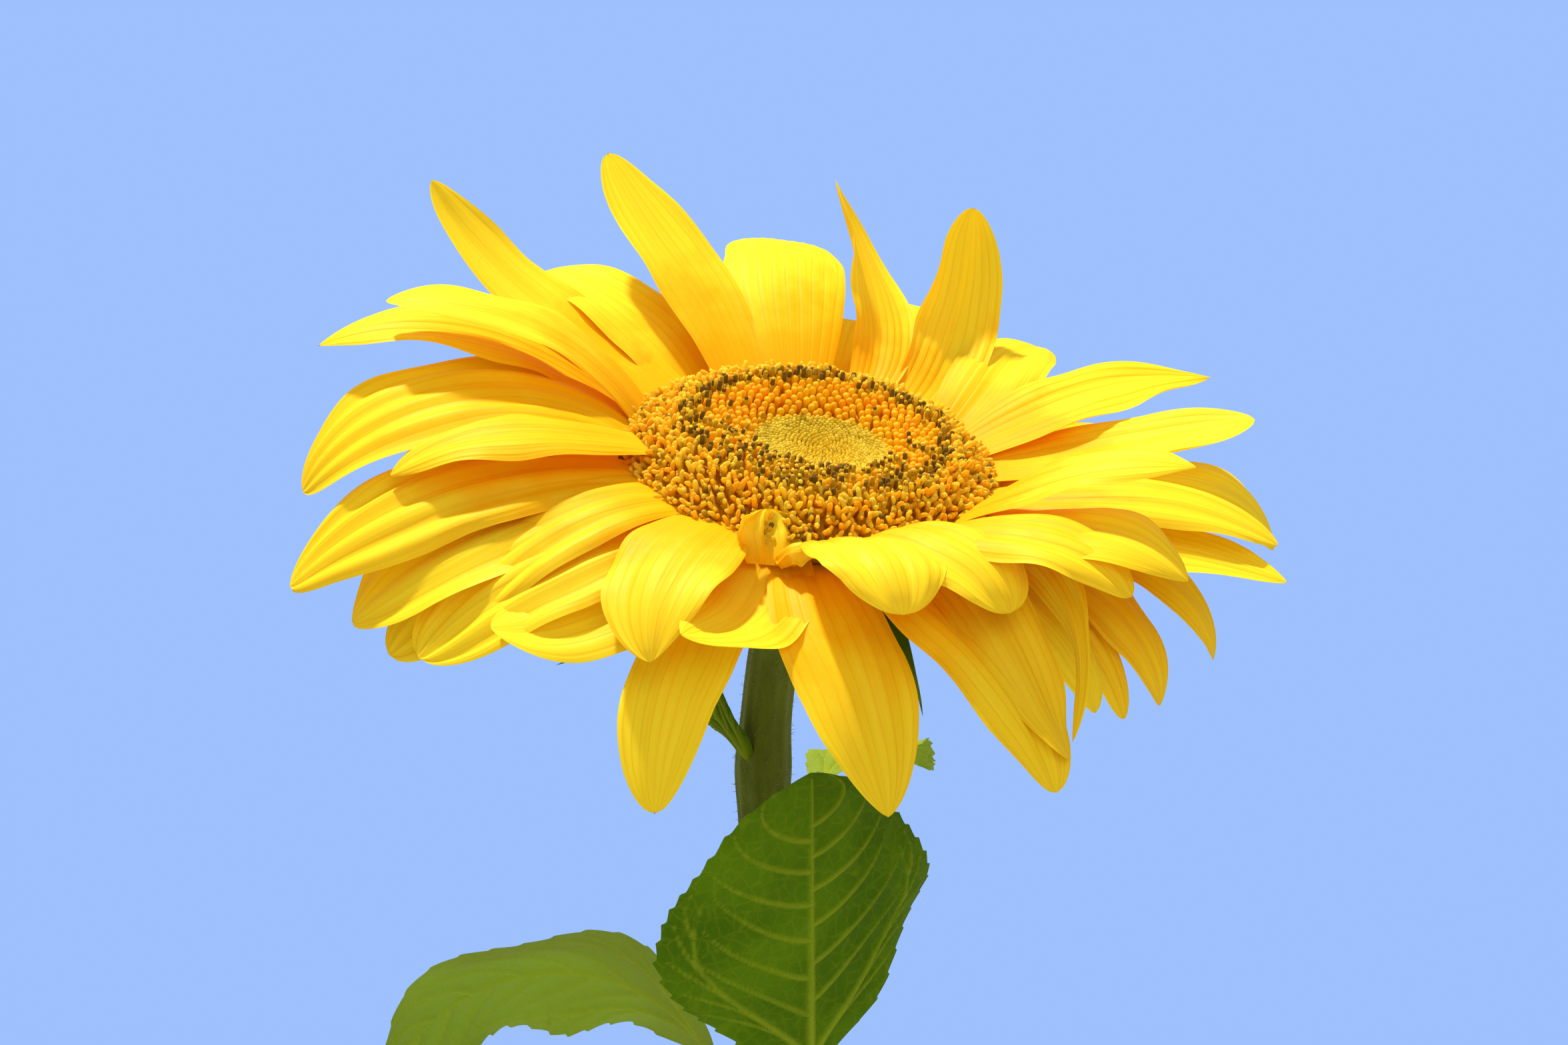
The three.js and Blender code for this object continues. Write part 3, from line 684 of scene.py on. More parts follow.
def limbTemplate(path, radius, sides):
    points, faces = tubeMesh(np.array(path, float), np.array(radius, float), sides)
    return points, [list(f) for f in faces]


def uprightTemplate(height, wide, levels, widths):
    z = np.array(levels) * height
    return limbTemplate(np.stack([0 * z, 0 * z, z], axis=1), np.array(widths) * wide, 6)


def corollaTemplates():
    return [uprightTemplate(height, wide, [0, 0.35, 0.7, 0.9, 1.0], [0.55, 0.8, 1.0, 0.8 + gap, 0.25 + gap])
            for height, wide, gap in discShape["corollas"]]


def antherTemplates():
    return [uprightTemplate(height, wide, [0, 0.5, 0.92, 1.0], [0.8, 1.0, 0.95, 0.5])
            for height, wide in discShape["anthers"]]


def ballTemplate():
    tilt = np.linspace(0.25, math.pi - 0.25, 4)
    path = np.stack([0 * tilt, 0 * tilt, -0.75 * np.cos(tilt)], axis=1)
    return limbTemplate(path, 0.8 * np.sin(tilt), 7)


def styleTemplates():  # two arms that part and curl back, thick with pollen
    shape = discShape
    made = []
    for _ in range(shape["styleKinds"]):
        reach = draw.uniform(*shape["styleReach"])
        curl = draw.uniform(*shape["styleCurl"])
        arms = []
        for sign in (-1, 1):
            lean = draw.uniform(*shape["styleLean"])
            t = np.linspace(0, 1, 7)
            bend = lean + curl * t ** 1.3
            step = reach / 6
            x = np.concatenate([[0], np.cumsum(np.sin(bend[:-1]) * step)]) * sign
            z = np.concatenate([[0], np.cumsum(np.cos(bend[:-1]) * step)])
            y = draw.uniform(-0.5, 0.5) * t * reach * 0.3
            lumps = np.array([0.8, 0.95, 1.05, 1.0, 1.05, 0.95, 0.55])
            radius = draw.uniform(*shape["styleRadius"]) * lumps
            arms.append(limbTemplate(np.stack([x, y, z], axis=1), radius, 6))
        made.append(arms)
    return made


def standOn(axis, spin):  # turns a template's +Z to the axis, with a spin about it
    side = unit(np.cross(axis, [0.31, 0.17, 0.94] if abs(axis[2]) < 0.9 else [1.0, 0.2, 0.1]))
    other = np.cross(axis, side)
    c, s = math.cos(spin), math.sin(spin)
    return np.stack([side * c + other * s, other * c - side * s, axis], axis=1)


def placed(template, turn, place, scale=1.0):
    points, faces = template
    return (points * scale) @ turn.T + place, faces


corollas, anthers, ball, styles = corollaTemplates(), antherTemplates(), ballTemplate(), styleTemplates()
tubes, caps, arms, buds = Heap(), Heap(), Heap(), Heap()


def buildBed():
    shape = discShape
    bed = [(0, -6.9), (20, -6.9), (40, -6.9), (48, -6.9), (49.5, -5.5)]
    bed += [(r * 0.965, h - shape["sink"]) for r, h in shape["profile"][::-1]]
    points, faces = turnedMesh(bed, 96)
    above = smoothStep(-6.5, -2, points[:, 2:])
    points = points + above * discShift(np.linalg.norm(points[:, :2], axis=1))
    addPiece("disc_bed", headToPlant(points), faces, [bedMaterial], ["flower_disc"])


def addAnther(place, turn, size, oliveShare):
    points, faces = placed(anthers[draw.integers(0, 3)], turn, place, size)
    tubes.add(points, faces, 3 + int(draw.random() < oliveShare))


def addFloret(r, angle):
    shape = discShape
    normal, out = discNormal(r, angle)
    lean = shape["splay"] * smoothStep(42, 51, r)
    axis = unit(0.45 * normal + 0.55 * upward + lean * out + draw.normal(0, 0.05, 3))
    front = 0.5 - 0.5 * math.sin(angle)  # 1 at the front of the disc
    rise = shape["frontRise"] * front ** 2 * (1 - smoothStep(21, 31, r))
    place = out * r + upward * (discHeight(r) - shape["sink"] + rise) + discShift(r)
    turn = standOn(axis, draw.uniform(0, 2 * math.pi))
    age = r + draw.normal(0, 1.0)
    inner = age < shape["crest"] - 2.5
    points, faces = placed(corollas[draw.integers(0, 3)], turn, place, shape["corollaScale"][inner])
    tubes.add(points, faces, int(draw.integers(0, 3)))
    dark = draw.random() < ((0.02 + 0.75 * front ** 2) if inner else 0.92)
    if age < shape["crest"] + 2.0 and dark:
        size = draw.uniform(*shape["antherScale"][inner])
        top = place + axis * shape["antherLift"]
        addAnther(top, turn, size, 0.35)
        if draw.random() < (0.6 if inner else 0.25):
            tip = top + axis * 3.7 * size
            caps.add(*placed(ball, turn, tip, draw.uniform(0.7, 0.9)), int(draw.random() < 0.4))
    if age >= shape["crest"] + 0.5:
        lift = axis * shape["styleLift"][age < 43]
        for arm in styles[draw.integers(0, len(styles))]:
            size = draw.uniform(0.8, 1.05)
            arms.add(*placed(arm, turn, place + lift, size), int(draw.integers(0, 3)))
        if draw.random() < 0.30:
            addAnther(place + axis * 1.8, turn, 0.95, 0.6)


def spiral(outer, spacing):  # radius and angle of each seed of a sunflower
    count = int((outer / spacing) ** 2 * math.pi)
    return [(outer * math.sqrt((k + 0.5) / count), k * goldenAngle) for k in range(count)]


def buildFlorets():
    shape = discShape
    for r, angle in spiral(shape["rim"], shape["spacing"]):
        if r > shape["budRadius"] - 1:
            addFloret(r, angle + draw.normal(0, 0.008))


def buildBuds():
    shape = discShape
    bud = limbTemplate([(0, 0, 0), (0, 0, 1.0), (0, 0, 1.7), (0, 0, 2.1)], (0.5, 0.62, 0.5, 0.16), 6)
    for r, angle in spiral(shape["budRadius"], shape["budSpacing"]):
        normal, out = discNormal(r, angle)
        place = out * r + upward * (discHeight(r) - shape["budSink"]) + discShift(r)
        axis = unit(normal - 0.3 * out + draw.normal(0, 0.06, 3))
        turn = standOn(axis, draw.uniform(0, 6))
        size = 0.8 + 0.5 * smoothStep(4, 20, r) + draw.normal(0, 0.05)
        buds.add(*placed(bud, turn, place, size), int(draw.integers(0, 3)))
    bowl = [(0, -6), (19, -6), (21.5, 0.5)]
    bowl += [(r, discHeight(r) - shape["bowlSink"]) for r in (20.5, 18, 14, 10, 6, 2, 0)]
    points, faces = turnedMesh(bowl, 64)
    buds.add(points + discShift(np.linalg.norm(points[:, :2], axis=1)), faces, 1)


buildBed()
buildFlorets()
buildBuds()
for heap in (tubes, caps, arms, buds):
    heap.points = [headToPlant(points) for points in heap.points]
tubes.piece("disc_corollas", orangeTones + darkTones, "disc_florets")
caps.piece("disc_pollen", pollenTones, "disc_florets")
arms.piece("disc_styles", goldTones, "disc_florets")
buds.piece("disc_buds", greenTones, "disc_florets")
print("disc built")


# base and bracts

baseShape = {
    "profile": [(0, -44), (8, -44), (10, -40), (12.5, -37), (17, -33), (22, -30), (29, -26.5), (36, -23),
                (42, -19.5), (46, -16), (49, -12.5), (50, -10), (49.6, -8.4), (49, -7.3), (0, -7.3)],
    "rows": [(15, 24, -31.0), (15, 34, -25.5), (17, 43, -20.5)],  # count, root radius, root height
    "loose": [(305, 42, 8, -8, -62), (228, 52, 11, -42, 0)],  # direction, length, width, lift, fall
    "looseRoot": (40, -22),
    "sides": 96,
    "lobes": 13,  # faint ribs on the cup below the bracts
    "lobeDepth": 0.02,
    "long": 45,
    "wide": 15,
    "thick": 0.9,
    "curl": 50,
    "bractSteps": (18, 9),
    "green": rgb(100, 136, 20),
    "dark": rgb(66, 98, 12),
    "deep": rgb(40, 70, 20),
    "through": rgb(150, 190, 30),
    "deepThrough": rgb(90, 130, 20),
}


def greenMaterial(name, colour, dark, roughness, through, share):
    material, tree, surface, _ = newMaterial(name, colour, roughness, through, share, 0.35)
    patch = useGroup(tree, mottle, {"Scale": 60.0, "Low": 0.35, "High": 0.65})
    fleck = useGroup(tree, mottle, {"Scale": 700.0, "Low": 0.5, "High": 0.75})
    colour = mixColour(tree, patch.outputs["Mask"], colour, dark)
    faint = maths(tree, "MULTIPLY", fleck.outputs["Mask"], 0.35)
    colour = mixColour(tree, faint, colour, dark)
    tree.links.new(colour, surface.inputs["Base Color"])
    bumpFrom(tree, surface, fleck.outputs["Height"], 0.35, 0.3)
    return material


bractMaterial = greenMaterial("bract_green", baseShape["green"], baseShape["dark"], 0.6,
                              baseShape["through"], 0.25)
baseMaterial = greenMaterial("base_green", baseShape["dark"], baseShape["deep"], 0.75,
                             baseShape["deepThrough"], 0.1)


def addBract(heap, at, rootRadius, rootHeight, long, wide, lift, fall):
    rows, columns = baseShape["bractSteps"]
    s = np.linspace(0, 1, rows)
    root = direction(at, 0) * rootRadius + upward * rootHeight
    centre, along = arcLine(root, at, lift + (fall - lift) * s ** 1.2, long)
    side, face = bladeFrame(along, np.zeros(rows))
    half = 0.5 * wide * (0.75 + 0.25 * np.sin(math.pi * s / 0.6)) * np.clip(1 - s ** 1.7, 0, 1) ** 1.25
    grid, _, _ = bladeGrid(centre, side, face, half, math.radians(baseShape["curl"]) / wide, columns)
    points, faces, _ = bladeShell(headToPlant(grid), baseShape["thick"])
    heap.add(points, faces.tolist())


def buildBase():
    shape = baseShape
    points, faces = turnedMesh(shape["profile"], shape["sides"])
    radius = np.linalg.norm(points[:, :2], axis=1)
    turn = np.arctan2(points[:, 1], points[:, 0])
    lobes = shape["lobeDepth"] * np.sin(shape["lobes"] * turn) * (radius < 40)
    points[:, :2] *= (1 + lobes)[:, None]
    addPiece("head_base", headToPlant(points), faces, [baseMaterial], ["flower_base"])
    heap = Heap()
    for row, (count, rootRadius, rootHeight) in enumerate(shape["rows"]):
        for k in range(count):
            at = 360 * (k + 0.5 * row) / count + draw.uniform(-5, 5)
            long = shape["long"] * draw.uniform(0.85, 1.1)
            wide = shape["wide"] * draw.uniform(0.85, 1.1)
            lift = 32 + draw.uniform(-6, 4)
            fall = draw.uniform(-75, -10)
            addBract(heap, at, rootRadius - 6, rootHeight - 1.2 * row, long, wide, lift, fall)
    for at, long, wide, lift, fall in shape["loose"]:
        addBract(heap, at, *shape["looseRoot"], long, wide, lift, fall)
    heap.piece("head_bracts", [bractMaterial], "bract_green")


buildBase()
print("base and bracts built")


# stem

stemShape = {
    "line": [(0, 0, -5), (2, 3, 150), (10, 5, 400), (20, 4, 650), (24.5, 1, 850), (19.5, 0, 960),
             (17.5, -4, 1000), (20, -14, 1031), (25.5, -33, 1056)],
    "topRadius": 7,
    "swell": 5,  # what it gains from top to ground
    "flareMore": 6,
    "flareFade": 25,
    "ribs": 11,
    "ribDepth": 0.03125,  # this and the next three are shares of the radius
    "footLobe": 0.10,
    "unevenness": 0.015,
    "twist": 0.004 / 3,
    "knot": 0.9,  # swelling where a leaf leaves
    "knotReach": 9,
    "sides": 66,
    "steps": 420,
    "hairs": 9000,
    "hairLength": (1.0, 2.4),
    "pale": rgb(112, 126, 18),
    "green": rgb(72, 88, 6),
    "spot": rgb(66, 88, 26),
    "hair": rgb(214, 224, 170),
    "hairThrough": rgb(220, 230, 170),
}


def stemRadius(h):
    shape = stemShape
    return (shape["topRadius"] + shape["swell"] * (1 - h / shape["line"][-1][2])
            + shape["flareMore"] * np.exp(-h / shape["flareFade"]))


stemPath = smoothCurve(stemShape["line"], stemShape["steps"])
stemPath = stemPath[stemPath[:, 2] > 0.2]
foot = stemPath[0] - (stemPath[1] - stemPath[0]) * stemPath[0][2] / (stemPath[1][2] - stemPath[0][2])
stemPath = np.concatenate([[foot], stemPath])


def stemAt(height):
    return np.array([np.interp(height, stemPath[:, 2], stemPath[:, k]) for k in range(3)])


def stemMaterial():
    material, tree, surface, _ = newMaterial("stem_skin", stemShape["green"], 0.6, None, 0.0, 0.25)
    place = addNode(tree, "ShaderNodeTexCoord").outputs["Object"]
    long = useGroup(tree, fibres, {"Map": place, "Lines": 700.0, "Run": 700.0, "Seed": 2.0})
    squeeze = addNode(tree, "ShaderNodeVectorMath", {0: place, 1: (1.0, 1.0, 0.03)}, operation="MULTIPLY")
    tree.links.new(squeeze.outputs[0], long.inputs["Map"])
    patch = useGroup(tree, mottle, {"Scale": 22.0, "Low": 0.35, "High": 0.65})
    colour = mixColour(tree, patch.outputs["Mask"], stemShape["green"], stemShape["pale"])
    lines = maths(tree, "MULTIPLY", long.outputs["Mask"], 0.4)
    colour = mixColour(tree, lines, colour, stemShape["pale"])
    fleck = useGroup(tree, mottle, {"Scale": 420.0, "Low": 0.62, "High": 0.72})
    spots = maths(tree, "MULTIPLY", fleck.outputs["Mask"], 0.5)
    colour = mixColour(tree, spots, colour, stemShape["spot"])
    tree.links.new(colour, surface.inputs["Base Color"])
    height = maths(tree, "ADD", long.outputs["Height"], fleck.outputs["Height"])
    bumpFrom(tree, surface, height, 0.4, 0.35)
    return material


stemSkin = stemMaterial()
hairMaterial = tinted("hair_pale", stemShape["hair"], 0.6, 300, 0.1, stemShape["hairThrough"], 0.4)
hairs = Heap()


def addHairs(points, normals, count, low, high):
    for k in draw.integers(0, len(points), count):
        lean = unit(normals[k] + draw.normal(0, 0.35, 3))
        root = points[k] - lean * 0.2 + draw.normal(0, 0.5, 3) * 0.4
        tip = root + lean * draw.uniform(low, high)
        side = unit(np.cross(lean, draw.normal(0, 1, 3))) * 0.085
        other = np.cross(lean, side)
        ring = [root + side, root - 0.5 * side + 0.87 * other, root - 0.5 * side - 0.87 * other]
        hairs.add(np.array(ring + [tip]), [[0, 2, 1], [0, 1, 3], [1, 2, 3], [2, 0, 3]])


def buildStem():
    shape = stemShape
    angle = 2 * math.pi * np.arange(shape["sides"]) / shape["sides"]
    h = stemPath[:, 2:3]
    ribs = 1 + shape["ribDepth"] * np.cos(shape["ribs"] * (angle + shape["twist"] * h))
    lobes = 1 + shape["footLobe"] * np.exp(-h / 18) * np.cos(5 * angle + 1)
    slow = 1 + shape["unevenness"] * np.sin(h / 23.0 + 2 * angle)
    radius = stemRadius(h) * ribs * lobes * slow
    for leaf in leaves:
        radius = radius + shape["knot"] * np.exp(-((h - leaf["up"]) / shape["knotReach"]) ** 2)
    rings, normals = tubeRings(stemPath, radius, shape["sides"])
    rings[0, :, 2] = 0
    points, faces = closeRings(rings)
    addPiece("stem_bark", points, faces, [stemSkin], ["stem"])
    addHairs(rings[8:].reshape(-1, 3), normals[8:].reshape(-1, 3), shape["hairs"], *shape["hairLength"])


# leaves

leafLook = {
    "thick": 0.7,
    "toothPitch": 5.0,
    "toothDepth": 1.5,
    "groove": 0.8,  # how far the nerves stand out
    "puff": 0.9,  # how far the blade swells between them
    "sway": 0.022,  # how far the margins wave, as a share of the length
    "lobe": 0.16,  # how far the large leaves reach back past the stalk, as a share of the length
    "big": 100,  # longer ones have wider and deeper teeth
    "mapSize": 120,
    "grid": (120, 49),
    "green": rgb(98, 136, 4),
    "dark": rgb(74, 112, 2),
    "light": rgb(160, 180, 64),  # leaves with tone 1 are painted this bright: painted sunlight on their green
    "pale": rgb(172, 186, 40),
    "through": rgb(172, 205, 4),
    "share": 0.38,
}

stalkShape = {
    "rootRadius": 4.2,
    "endRadius": 2.2,
    "sides": 20,
    "steps": 40,
    "ribs": 6,
    "ribDepth": 0.05,
    "hairs": 350,
    "hairLength": (0.8, 1.8),
}

nerveShape = {  # width at the start and end of each kind
    "middle": (1.5, 0.3),
    "low": (1.2, 0.25),
    "lowBranch": (0.6, 0.2),
    "lowBranchAt": (3, 5, 7, 9, 11),  # steps along the low nerve
    "upper": (0.8, 0.2),
    "upperAt": (0.22, 0.35, 0.48, 0.60, 0.71, 0.81),  # shares of the length
    "soft": 4.0,  # the blade swells over about this distance from a nerve
}

# From the top down. up: height on the stem; at: degrees round it; stalk and rise: length and
# steepness of the stalk; turn: how far the blade swings from it; lift and fall: pitch of the
# blade at root and tip; peak: where it is widest; root: its width at the root as a share of that;
# point and corner: how it narrows to its tip; grid: steps along and across.
# tone 1 takes the leaf skin painted brighter, as painted sunlight
leaves = [
    dict(name="bract", up=1003, at=235, stalk=0, long=60, wide=13, lift=38, fall=25, cup=40,
         peak=0.65, root=0.28),
    dict(name="back", up=968, at=62, stalk=45, rise=52, long=80, wide=28, lift=32, fall=-18, cup=25,
         point=1.1, tone=1),
    dict(name="left", up=899, at=215, stalk=30, rise=48, turn=-30, long=120, wide=64, lift=54, fall=-78,
         cup=-20, roll=22, peak=0.42, root=0.16, tone=1, grid=(150, 61)),
    dict(name="front", up=880, at=280, stalk=50, rise=45, turn=-10, long=93, wide=90, lift=50, fall=60,
         cup=50, roll=32, peak=0.48, root=0.08, corner=0.25, point=0.7, grid=(220, 97)),
    dict(name="low_1", up=760, at=20, stalk=85, rise=48, long=165, wide=125, lift=12, fall=-60, cup=-18),
    dict(name="low_2", up=662, at=157, stalk=92, rise=46, long=178, wide=138, lift=8, fall=-62, cup=-16),
    dict(name="low_3", up=560, at=295, stalk=98, rise=44, long=186, wide=148, lift=5, fall=-64, cup=-16),
    dict(name="low_4", up=452, at=72, stalk=102, rise=42, long=190, wide=152, lift=2, fall=-66, cup=-16),
    dict(name="low_5", up=340, at=210, stalk=100, rise=40, long=184, wide=146, lift=-2, fall=-64, cup=-16),
    dict(name="low_6", up=232, at=347, stalk=86, rise=38, long=160, wide=124, lift=-4, fall=-58, cup=-16),
]


# light: how much painted sunlight brightens the colour, standing in for direct sun on the leaf
def leafMaterial(name, cells, light=0.0):
    look = leafLook
    material, tree, surface, glow = newMaterial(name, look["green"], 0.6, look["through"], look["share"],
                                                0.07)
    flat = addNode(tree, "ShaderNodeUVMap", uv_map="bladeMap").outputs[0]
    nerve = addNode(tree, "ShaderNodeAttribute", attribute_name="nerve").outputs["Fac"]
    patch = useGroup(tree, mottle, {"Scale": 35.0, "Low": 0.35, "High": 0.65})
    net = useGroup(tree, veinNet, {"Map": flat, "Cells": cells})
    colour = mixColour(tree, patch.outputs["Mask"], look["green"], look["dark"])
    # painted sunlight: mixes in the brighter green
    colour = mixColour(tree, light, colour, look["light"])
    thin = maths(tree, "MULTIPLY", net.outputs["Mask"], 0.2)
    colour = mixColour(tree, thin, colour, look["pale"])
    strong = maths(tree, "MULTIPLY", nerve, 0.8, clamp=True)
    colour = mixColour(tree, strong, colour, look["pale"])
    tree.links.new(colour, surface.inputs["Base Color"])
    lit = mixColour(tree, 0.55, colour, look["through"])
    tree.links.new(lit, glow.inputs["Color"])
    height = maths(tree, "ADD", maths(tree, "MULTIPLY", net.outputs["Height"], -1.0),
                   maths(tree, "MULTIPLY", patch.outputs["Height"], 0.3))
    bumpFrom(tree, surface, height, 0.5, 0.35)
    tree.links.new(ramp(tree, net.outputs["Mask"], 0.0, 1.0, 0.46, 0.62), surface.inputs["Roughness"])
    return material


# the second skin is a copy painted brighter, as painted sunlight
leafSkins = [leafMaterial("leaf_skin", 26.0), leafMaterial("leaf_skin_painted_sun", 22.0, 0.85)]


def nerveLines(leaf):  # each nerve: its points across and along the flat blade, and its widths
    shape, long = nerveShape, leaf["long"]
    lines = [(np.stack([np.zeros(20), np.linspace(0, 0.98, 20) * long], axis=1), *shape["middle"])]
    t = np.linspace(0, 1, 14)
    for side in (-1, 1):
        y = 0.03 + 0.62 * t ** 1.2
        x = side * 0.80 * np.sin(math.pi / 2 * t ** 0.8) * leafHalf(leaf, y)
        lines.append((np.stack([x, y * long], axis=1), *shape["low"]))
        for start in shape["lowBranchAt"]:
            u = np.linspace(0, 1, 8)
            up = y[start] + 0.15 * u
            out = x[start] + side * (0.93 * leafHalf(leaf, up) - abs(x[start])) * u ** 0.9
            lines.append((np.stack([out, up * long], axis=1), *shape["lowBranch"]))
        for start in shape["upperAt"]:
            shift = 0.025 * side
            up = start + shift + 0.30 * (1 - 0.62 * start) * t ** 1.15
            out = side * (0.93 if start > 0.5 else 0.74) * leafHalf(leaf, up) * t ** 0.85
            lines.append((np.stack([out, up * long], axis=1), *shape["upper"]))
    return lines


def nerveField(x, y, lines, scale):
    mask = np.zeros(x.size)
    near = np.full(x.size, 1e3)
    spots = np.stack([x.ravel(), y.ravel()], axis=1)
    for path, first, last in lines:
        a, b = path[:-1], path[1:]
        ab = b - a
        t = np.clip(((spots[:, None] - a) * ab).sum(-1) / np.maximum((ab ** 2).sum(-1), 1e-9), 0, 1)
        gap = np.linalg.norm(spots[:, None] - a - t[..., None] * ab, axis=-1)
        best = gap.argmin(axis=1)
        d = gap.min(axis=1)
        part = (best + t[np.arange(len(spots)), best]) / len(a)
        width = (first + (last - first) * part) * scale
        strength = 0.45 + 0.55 * width / (nerveShape["middle"][0] * scale)
        mask = np.maximum(mask, strength * np.exp(-(d / width) ** 2))
        near = np.minimum(near, d)
    return mask.reshape(x.shape), near.reshape(x.shape)


def leafHalf(leaf, s):  # half width at s, without teeth
    return outline(leaf["wide"], leaf.get("root", 0.3), leaf.get("peak", 0.34), leaf.get("point", 0.85), s,
                   leaf.get("corner", 0.0))


def toothedHalf(leaf, s):
    look = leafLook
    big = leaf["long"] > look["big"]
    tooth = (s * leaf["long"] / (look["toothPitch"] * (1 + 0.5 * big))) % 1.0
    rim = smoothStep(0.06, 0.16, s) * smoothStep(1.0, 0.94, s)
    deep = look["toothDepth"] * (1 + 0.4 * big) * (0.1 if leaf["name"] == "bract" else 1)
    half = leafHalf(leaf, s) + deep * rim * (tooth ** 1.4 * smoothStep(1.0, 0.86, tooth) - 0.3)
    return np.maximum(half, 0.02)


def leafGrid(leaf, start):
    look = leafLook
    long = leaf["long"]
    rows, columns = leaf.get("grid", look["grid"])
    s = np.linspace(0, 1, rows)
    pitch = leaf["lift"] + (leaf["fall"] - leaf["lift"]) * s
    centre, along = arcLine(start, leaf["at"] + leaf.get("turn", 0), pitch, long)
    side, face = bladeFrame(along, np.full(rows, float(leaf.get("roll", 0))))
    bend = math.radians(leaf["cup"]) / (2 * leafHalf(leaf, np.array([0.5]))[0])
    grid, out, w = bladeGrid(centre, side, face, toothedHalf(leaf, s), bend, columns)
    v = np.linspace(-1, 1, columns)[None, :]
    t = s[:, None]
    lobe = look["lobe"] * long if leaf["name"].startswith("low") else 0.0
    grid = grid - (lobe * np.abs(v) ** 1.4 * (1 - t) ** 4)[..., None] * along[:, None]
    y = np.broadcast_to(t * long, w.shape)
    mask, near = nerveField(w, y, nerveLines(leaf), 0.55 + 0.45 * long / look["mapSize"])
    dice = np.random.default_rng(60 + leaf["up"])
    wave = np.sin(2 * math.pi * (2.3 * t + dice.uniform(0, 1))) * np.clip(v, 0, 1) ** 2
    wave = wave + np.sin(2 * math.pi * (2.7 * t + dice.uniform(0, 1))) * np.clip(-v, 0, 1) ** 2
    sway = look["sway"] * long * wave * smoothStep(0.02, 0.2, t) * smoothStep(1.0, 0.8, t)
    swell = (1 - np.exp(-near / nerveShape["soft"])) * (1 - np.abs(v) ** 4)
    puff = look["puff"] * swell * smoothStep(0, 0.15, t)
    lump = sway + puff - look["groove"] * mask
    grid = grid + lump[..., None] * out
    coords = np.stack([w / look["mapSize"] + 0.5, y / look["mapSize"]], axis=-1)
    return grid, mask, coords


def buildStalk(leaf, start):  # gives the place where the blade begins
    shape = stalkShape
    heading, long = leaf["at"], leaf["stalk"]
    end = start + direction(heading, leaf["rise"]) * long
    setOut = start + direction(heading, leaf["rise"] + 12) * 0.35 * long
    arrive = end - direction(heading, leaf["lift"]) * 0.3 * long
    s = np.linspace(0, 1, shape["steps"])
    path, _ = bezier(start, setOut, arrive, end, s)
    angle = 2 * math.pi * np.arange(shape["sides"]) / shape["sides"]
    taper = shape["rootRadius"] + (shape["endRadius"] - shape["rootRadius"]) * np.sqrt(s)
    radius = taper[:, None] * (1 + shape["ribDepth"] * np.cos(shape["ribs"] * angle))
    rings, normals = tubeRings(path, radius, shape["sides"])
    points, faces = closeRings(rings)
    addPiece(f"petiole_{leaf['name']}", points, faces, [stemSkin], [f"stalk_{leaf['name']}"])
    addHairs(rings.reshape(-1, 3), normals.reshape(-1, 3), shape["hairs"], *shape["hairLength"])
    return end


def buildLeaf(leaf):
    name = leaf["name"]
    start = stemAt(leaf["up"]) + direction(leaf["at"], 0) * (stemRadius(leaf["up"]) - 2)
    if leaf["stalk"] > 0:
        start = buildStalk(leaf, start)
    grid, mask, coords = leafGrid(leaf, start)
    points, faces, source = bladeShell(grid, leafLook["thick"])
    addPiece(f"blade_{name}", points, faces, [leafSkins[leaf.get("tone", 0)]], [f"leaf_{name}"],
             coords=coords.reshape(-1, 2)[source], nerve=mask.ravel()[source], sharp=rimAngle)


buildStem()
for leaf in leaves:
    buildLeaf(leaf)
hairs.piece("stem_hairs", [hairMaterial], "stem_green")
print("stem and leaves built")


# stage: pale floor, soft light and camera

stageLook = {
    "floor": rgb(226, 226, 222),
    "floorSpeck": rgb(220, 220, 216),
    "floorRadius": 6,
    "floorDrop": 0.0005,  # keeps it just under the stem's flat foot
    "sky": rgb(158, 193, 254),  # what shows behind the plant
    "soft": (1.0, 0.97, 0.90, 1.0),  # what the sky sheds on it
    "softStrength": 0.55,
    "keyFrom": (-0.26, -0.08, 1.0),
    "keyDistance": 2.4,
    "keySize": 0.16,
    "keyPower": 98.0,
    "keyColour": (1.0, 0.96, 0.88),
    "fillFrom": (0.5, -2.2, 0.9),
    "fillSize": 2.0,
    "fillPower": 14.0,
    "fillColour": (1.0, 1.0, 1.0),
}


def buildFloor():
    look = stageLook
    material, tree, surface, _ = newMaterial("floor_pale", look["floor"], 0.8)
    speck = useGroup(tree, mottle, {"Scale": 3.0, "Low": 0.3, "High": 0.7})
    colour = mixColour(tree, speck.outputs["Mask"], look["floor"], look["floorSpeck"])
    tree.links.new(colour, surface.inputs["Base Color"])
    mesh = bpy.data.meshes.new("floor")
    angle = 2 * math.pi * np.arange(64) / 64
    reach = look["floorRadius"]
    rim = np.stack([reach * np.cos(angle), reach * np.sin(angle), 0 * angle - look["floorDrop"]], axis=1)
    mesh.from_pydata(rim.tolist(), [], [list(range(64))])
    mesh.materials.append(material)
    floor = bpy.data.objects.new("floor", mesh)
    bpy.context.collection.objects.link(floor)


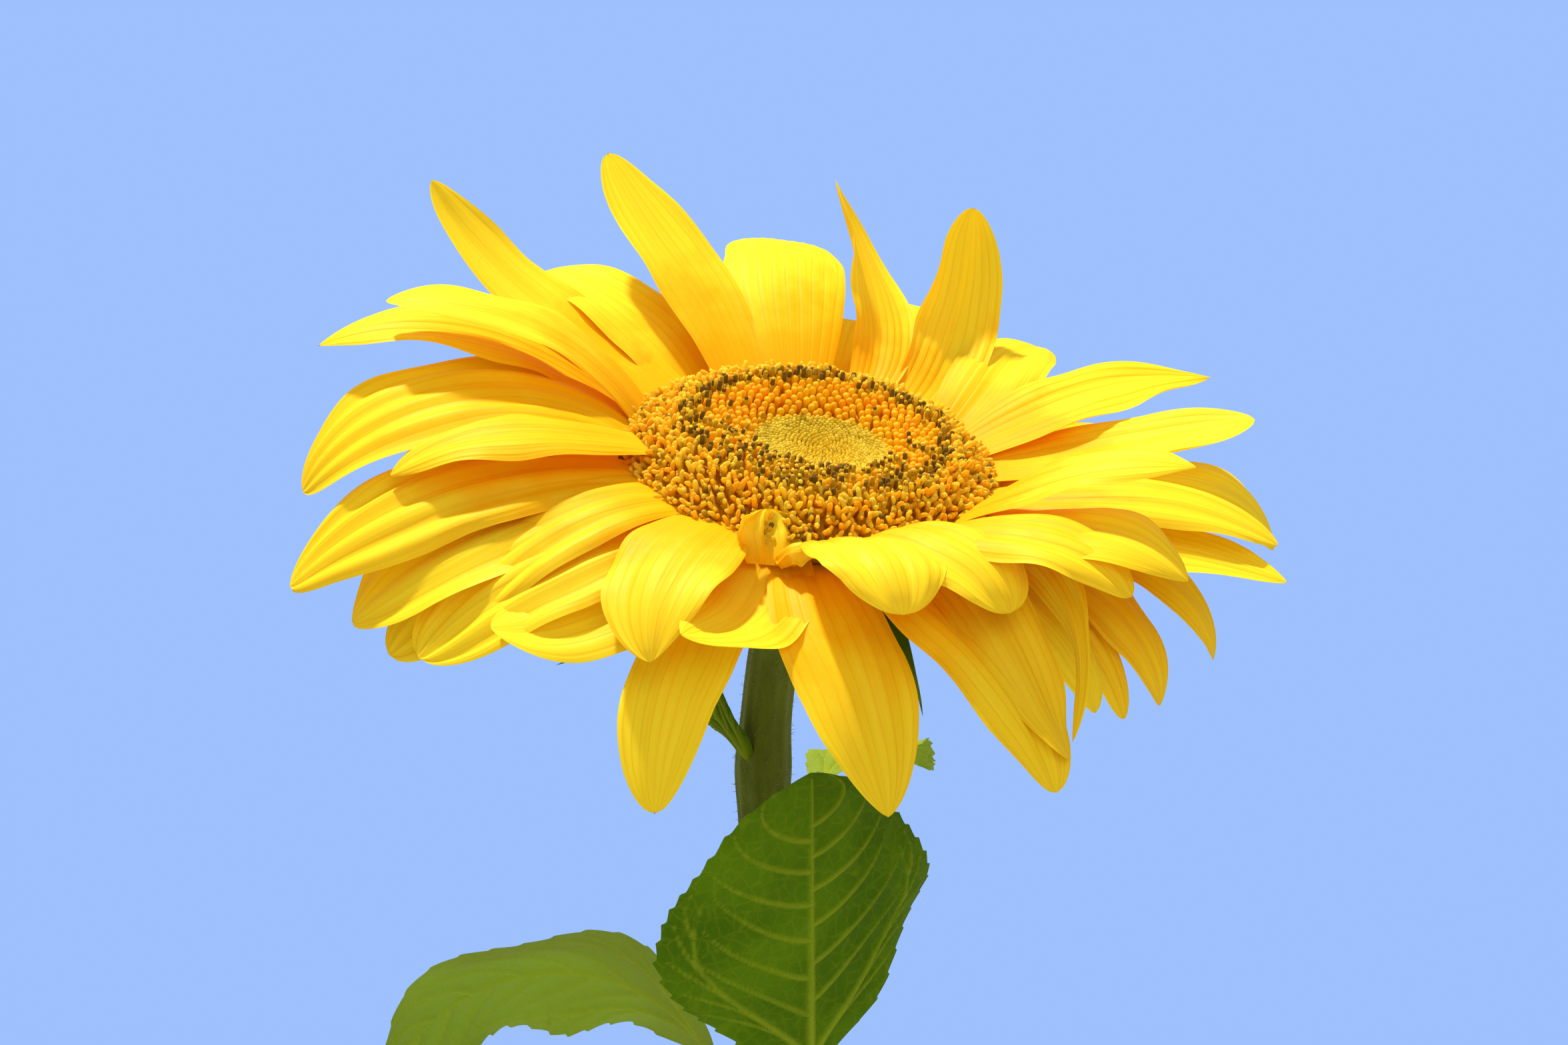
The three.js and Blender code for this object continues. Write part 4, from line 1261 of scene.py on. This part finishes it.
def buildSky():  # what it sheds on the plant is softer than what shows
    look = stageLook
    world = bpy.data.worlds.new("sky")
    bpy.context.scene.world = world
    world.use_nodes = True
    tree = world.node_tree
    shed = tree.nodes["Background"]
    shed.inputs["Color"].default_value = look["soft"]
    shed.inputs["Strength"].default_value = look["softStrength"]
    shown = addNode(tree, "ShaderNodeBackground", {"Color": look["sky"], "Strength": 1.0})
    seen = addNode(tree, "ShaderNodeLightPath").outputs["Is Camera Ray"]
    both = addNode(tree, "ShaderNodeMixShader", {0: seen, 1: shed.outputs[0], 2: shown.outputs[0]})
    tree.links.new(both.outputs[0], tree.nodes["World Output"].inputs["Surface"])


def addLight(name, offset, size, power, colour):  # aimed at the head
    light = bpy.data.lights.new(name, "AREA")
    light.shape = "DISK"
    light.size = size
    light.energy = power
    light.color = colour
    lamp = bpy.data.objects.new(name, light)
    bpy.context.collection.objects.link(lamp)
    lamp.location = np.array(headShape["place"]) * mm + offset
    lamp.rotation_euler = Vector(-unit(offset)).to_track_quat("-Z", "Y").to_euler()


def buildLights():
    look = stageLook
    addLight("key", unit(np.array(look["keyFrom"])) * look["keyDistance"], look["keySize"],
             look["keyPower"], look["keyColour"])
    addLight("fill", np.array(look["fillFrom"]), look["fillSize"], look["fillPower"], look["fillColour"])


cameraSet = {
    "distance": 1.10,  # metres from the head
    "aside": 0.0065,
    "below": 0.0187,
    "tilt": 10,  # degrees that it looks up
    "lens": 90,
    "sensor": 36,
    "nearest": 0.05,
}


def buildCamera():
    tilt = math.radians(cameraSet["tilt"])
    ahead = np.array([0, math.cos(tilt), math.sin(tilt)])
    above = np.array([0, -math.sin(tilt), math.cos(tilt)])
    place = np.array(headShape["place"]) * mm - ahead * cameraSet["distance"]
    place = place - np.array([cameraSet["aside"], 0, 0]) - above * cameraSet["below"]
    camera = bpy.data.objects.new("camera", bpy.data.cameras.new("camera"))
    camera.data.lens = cameraSet["lens"]
    camera.data.sensor_width = cameraSet["sensor"]
    camera.data.clip_start = cameraSet["nearest"]
    camera.location = place
    camera.rotation_euler = (math.radians(90 + cameraSet["tilt"]), 0, 0)
    bpy.context.collection.objects.link(camera)
    bpy.context.scene.camera = camera


buildFloor()
buildSky()
buildLights()
buildCamera()
bpy.context.scene.view_settings.view_transform = "Standard"
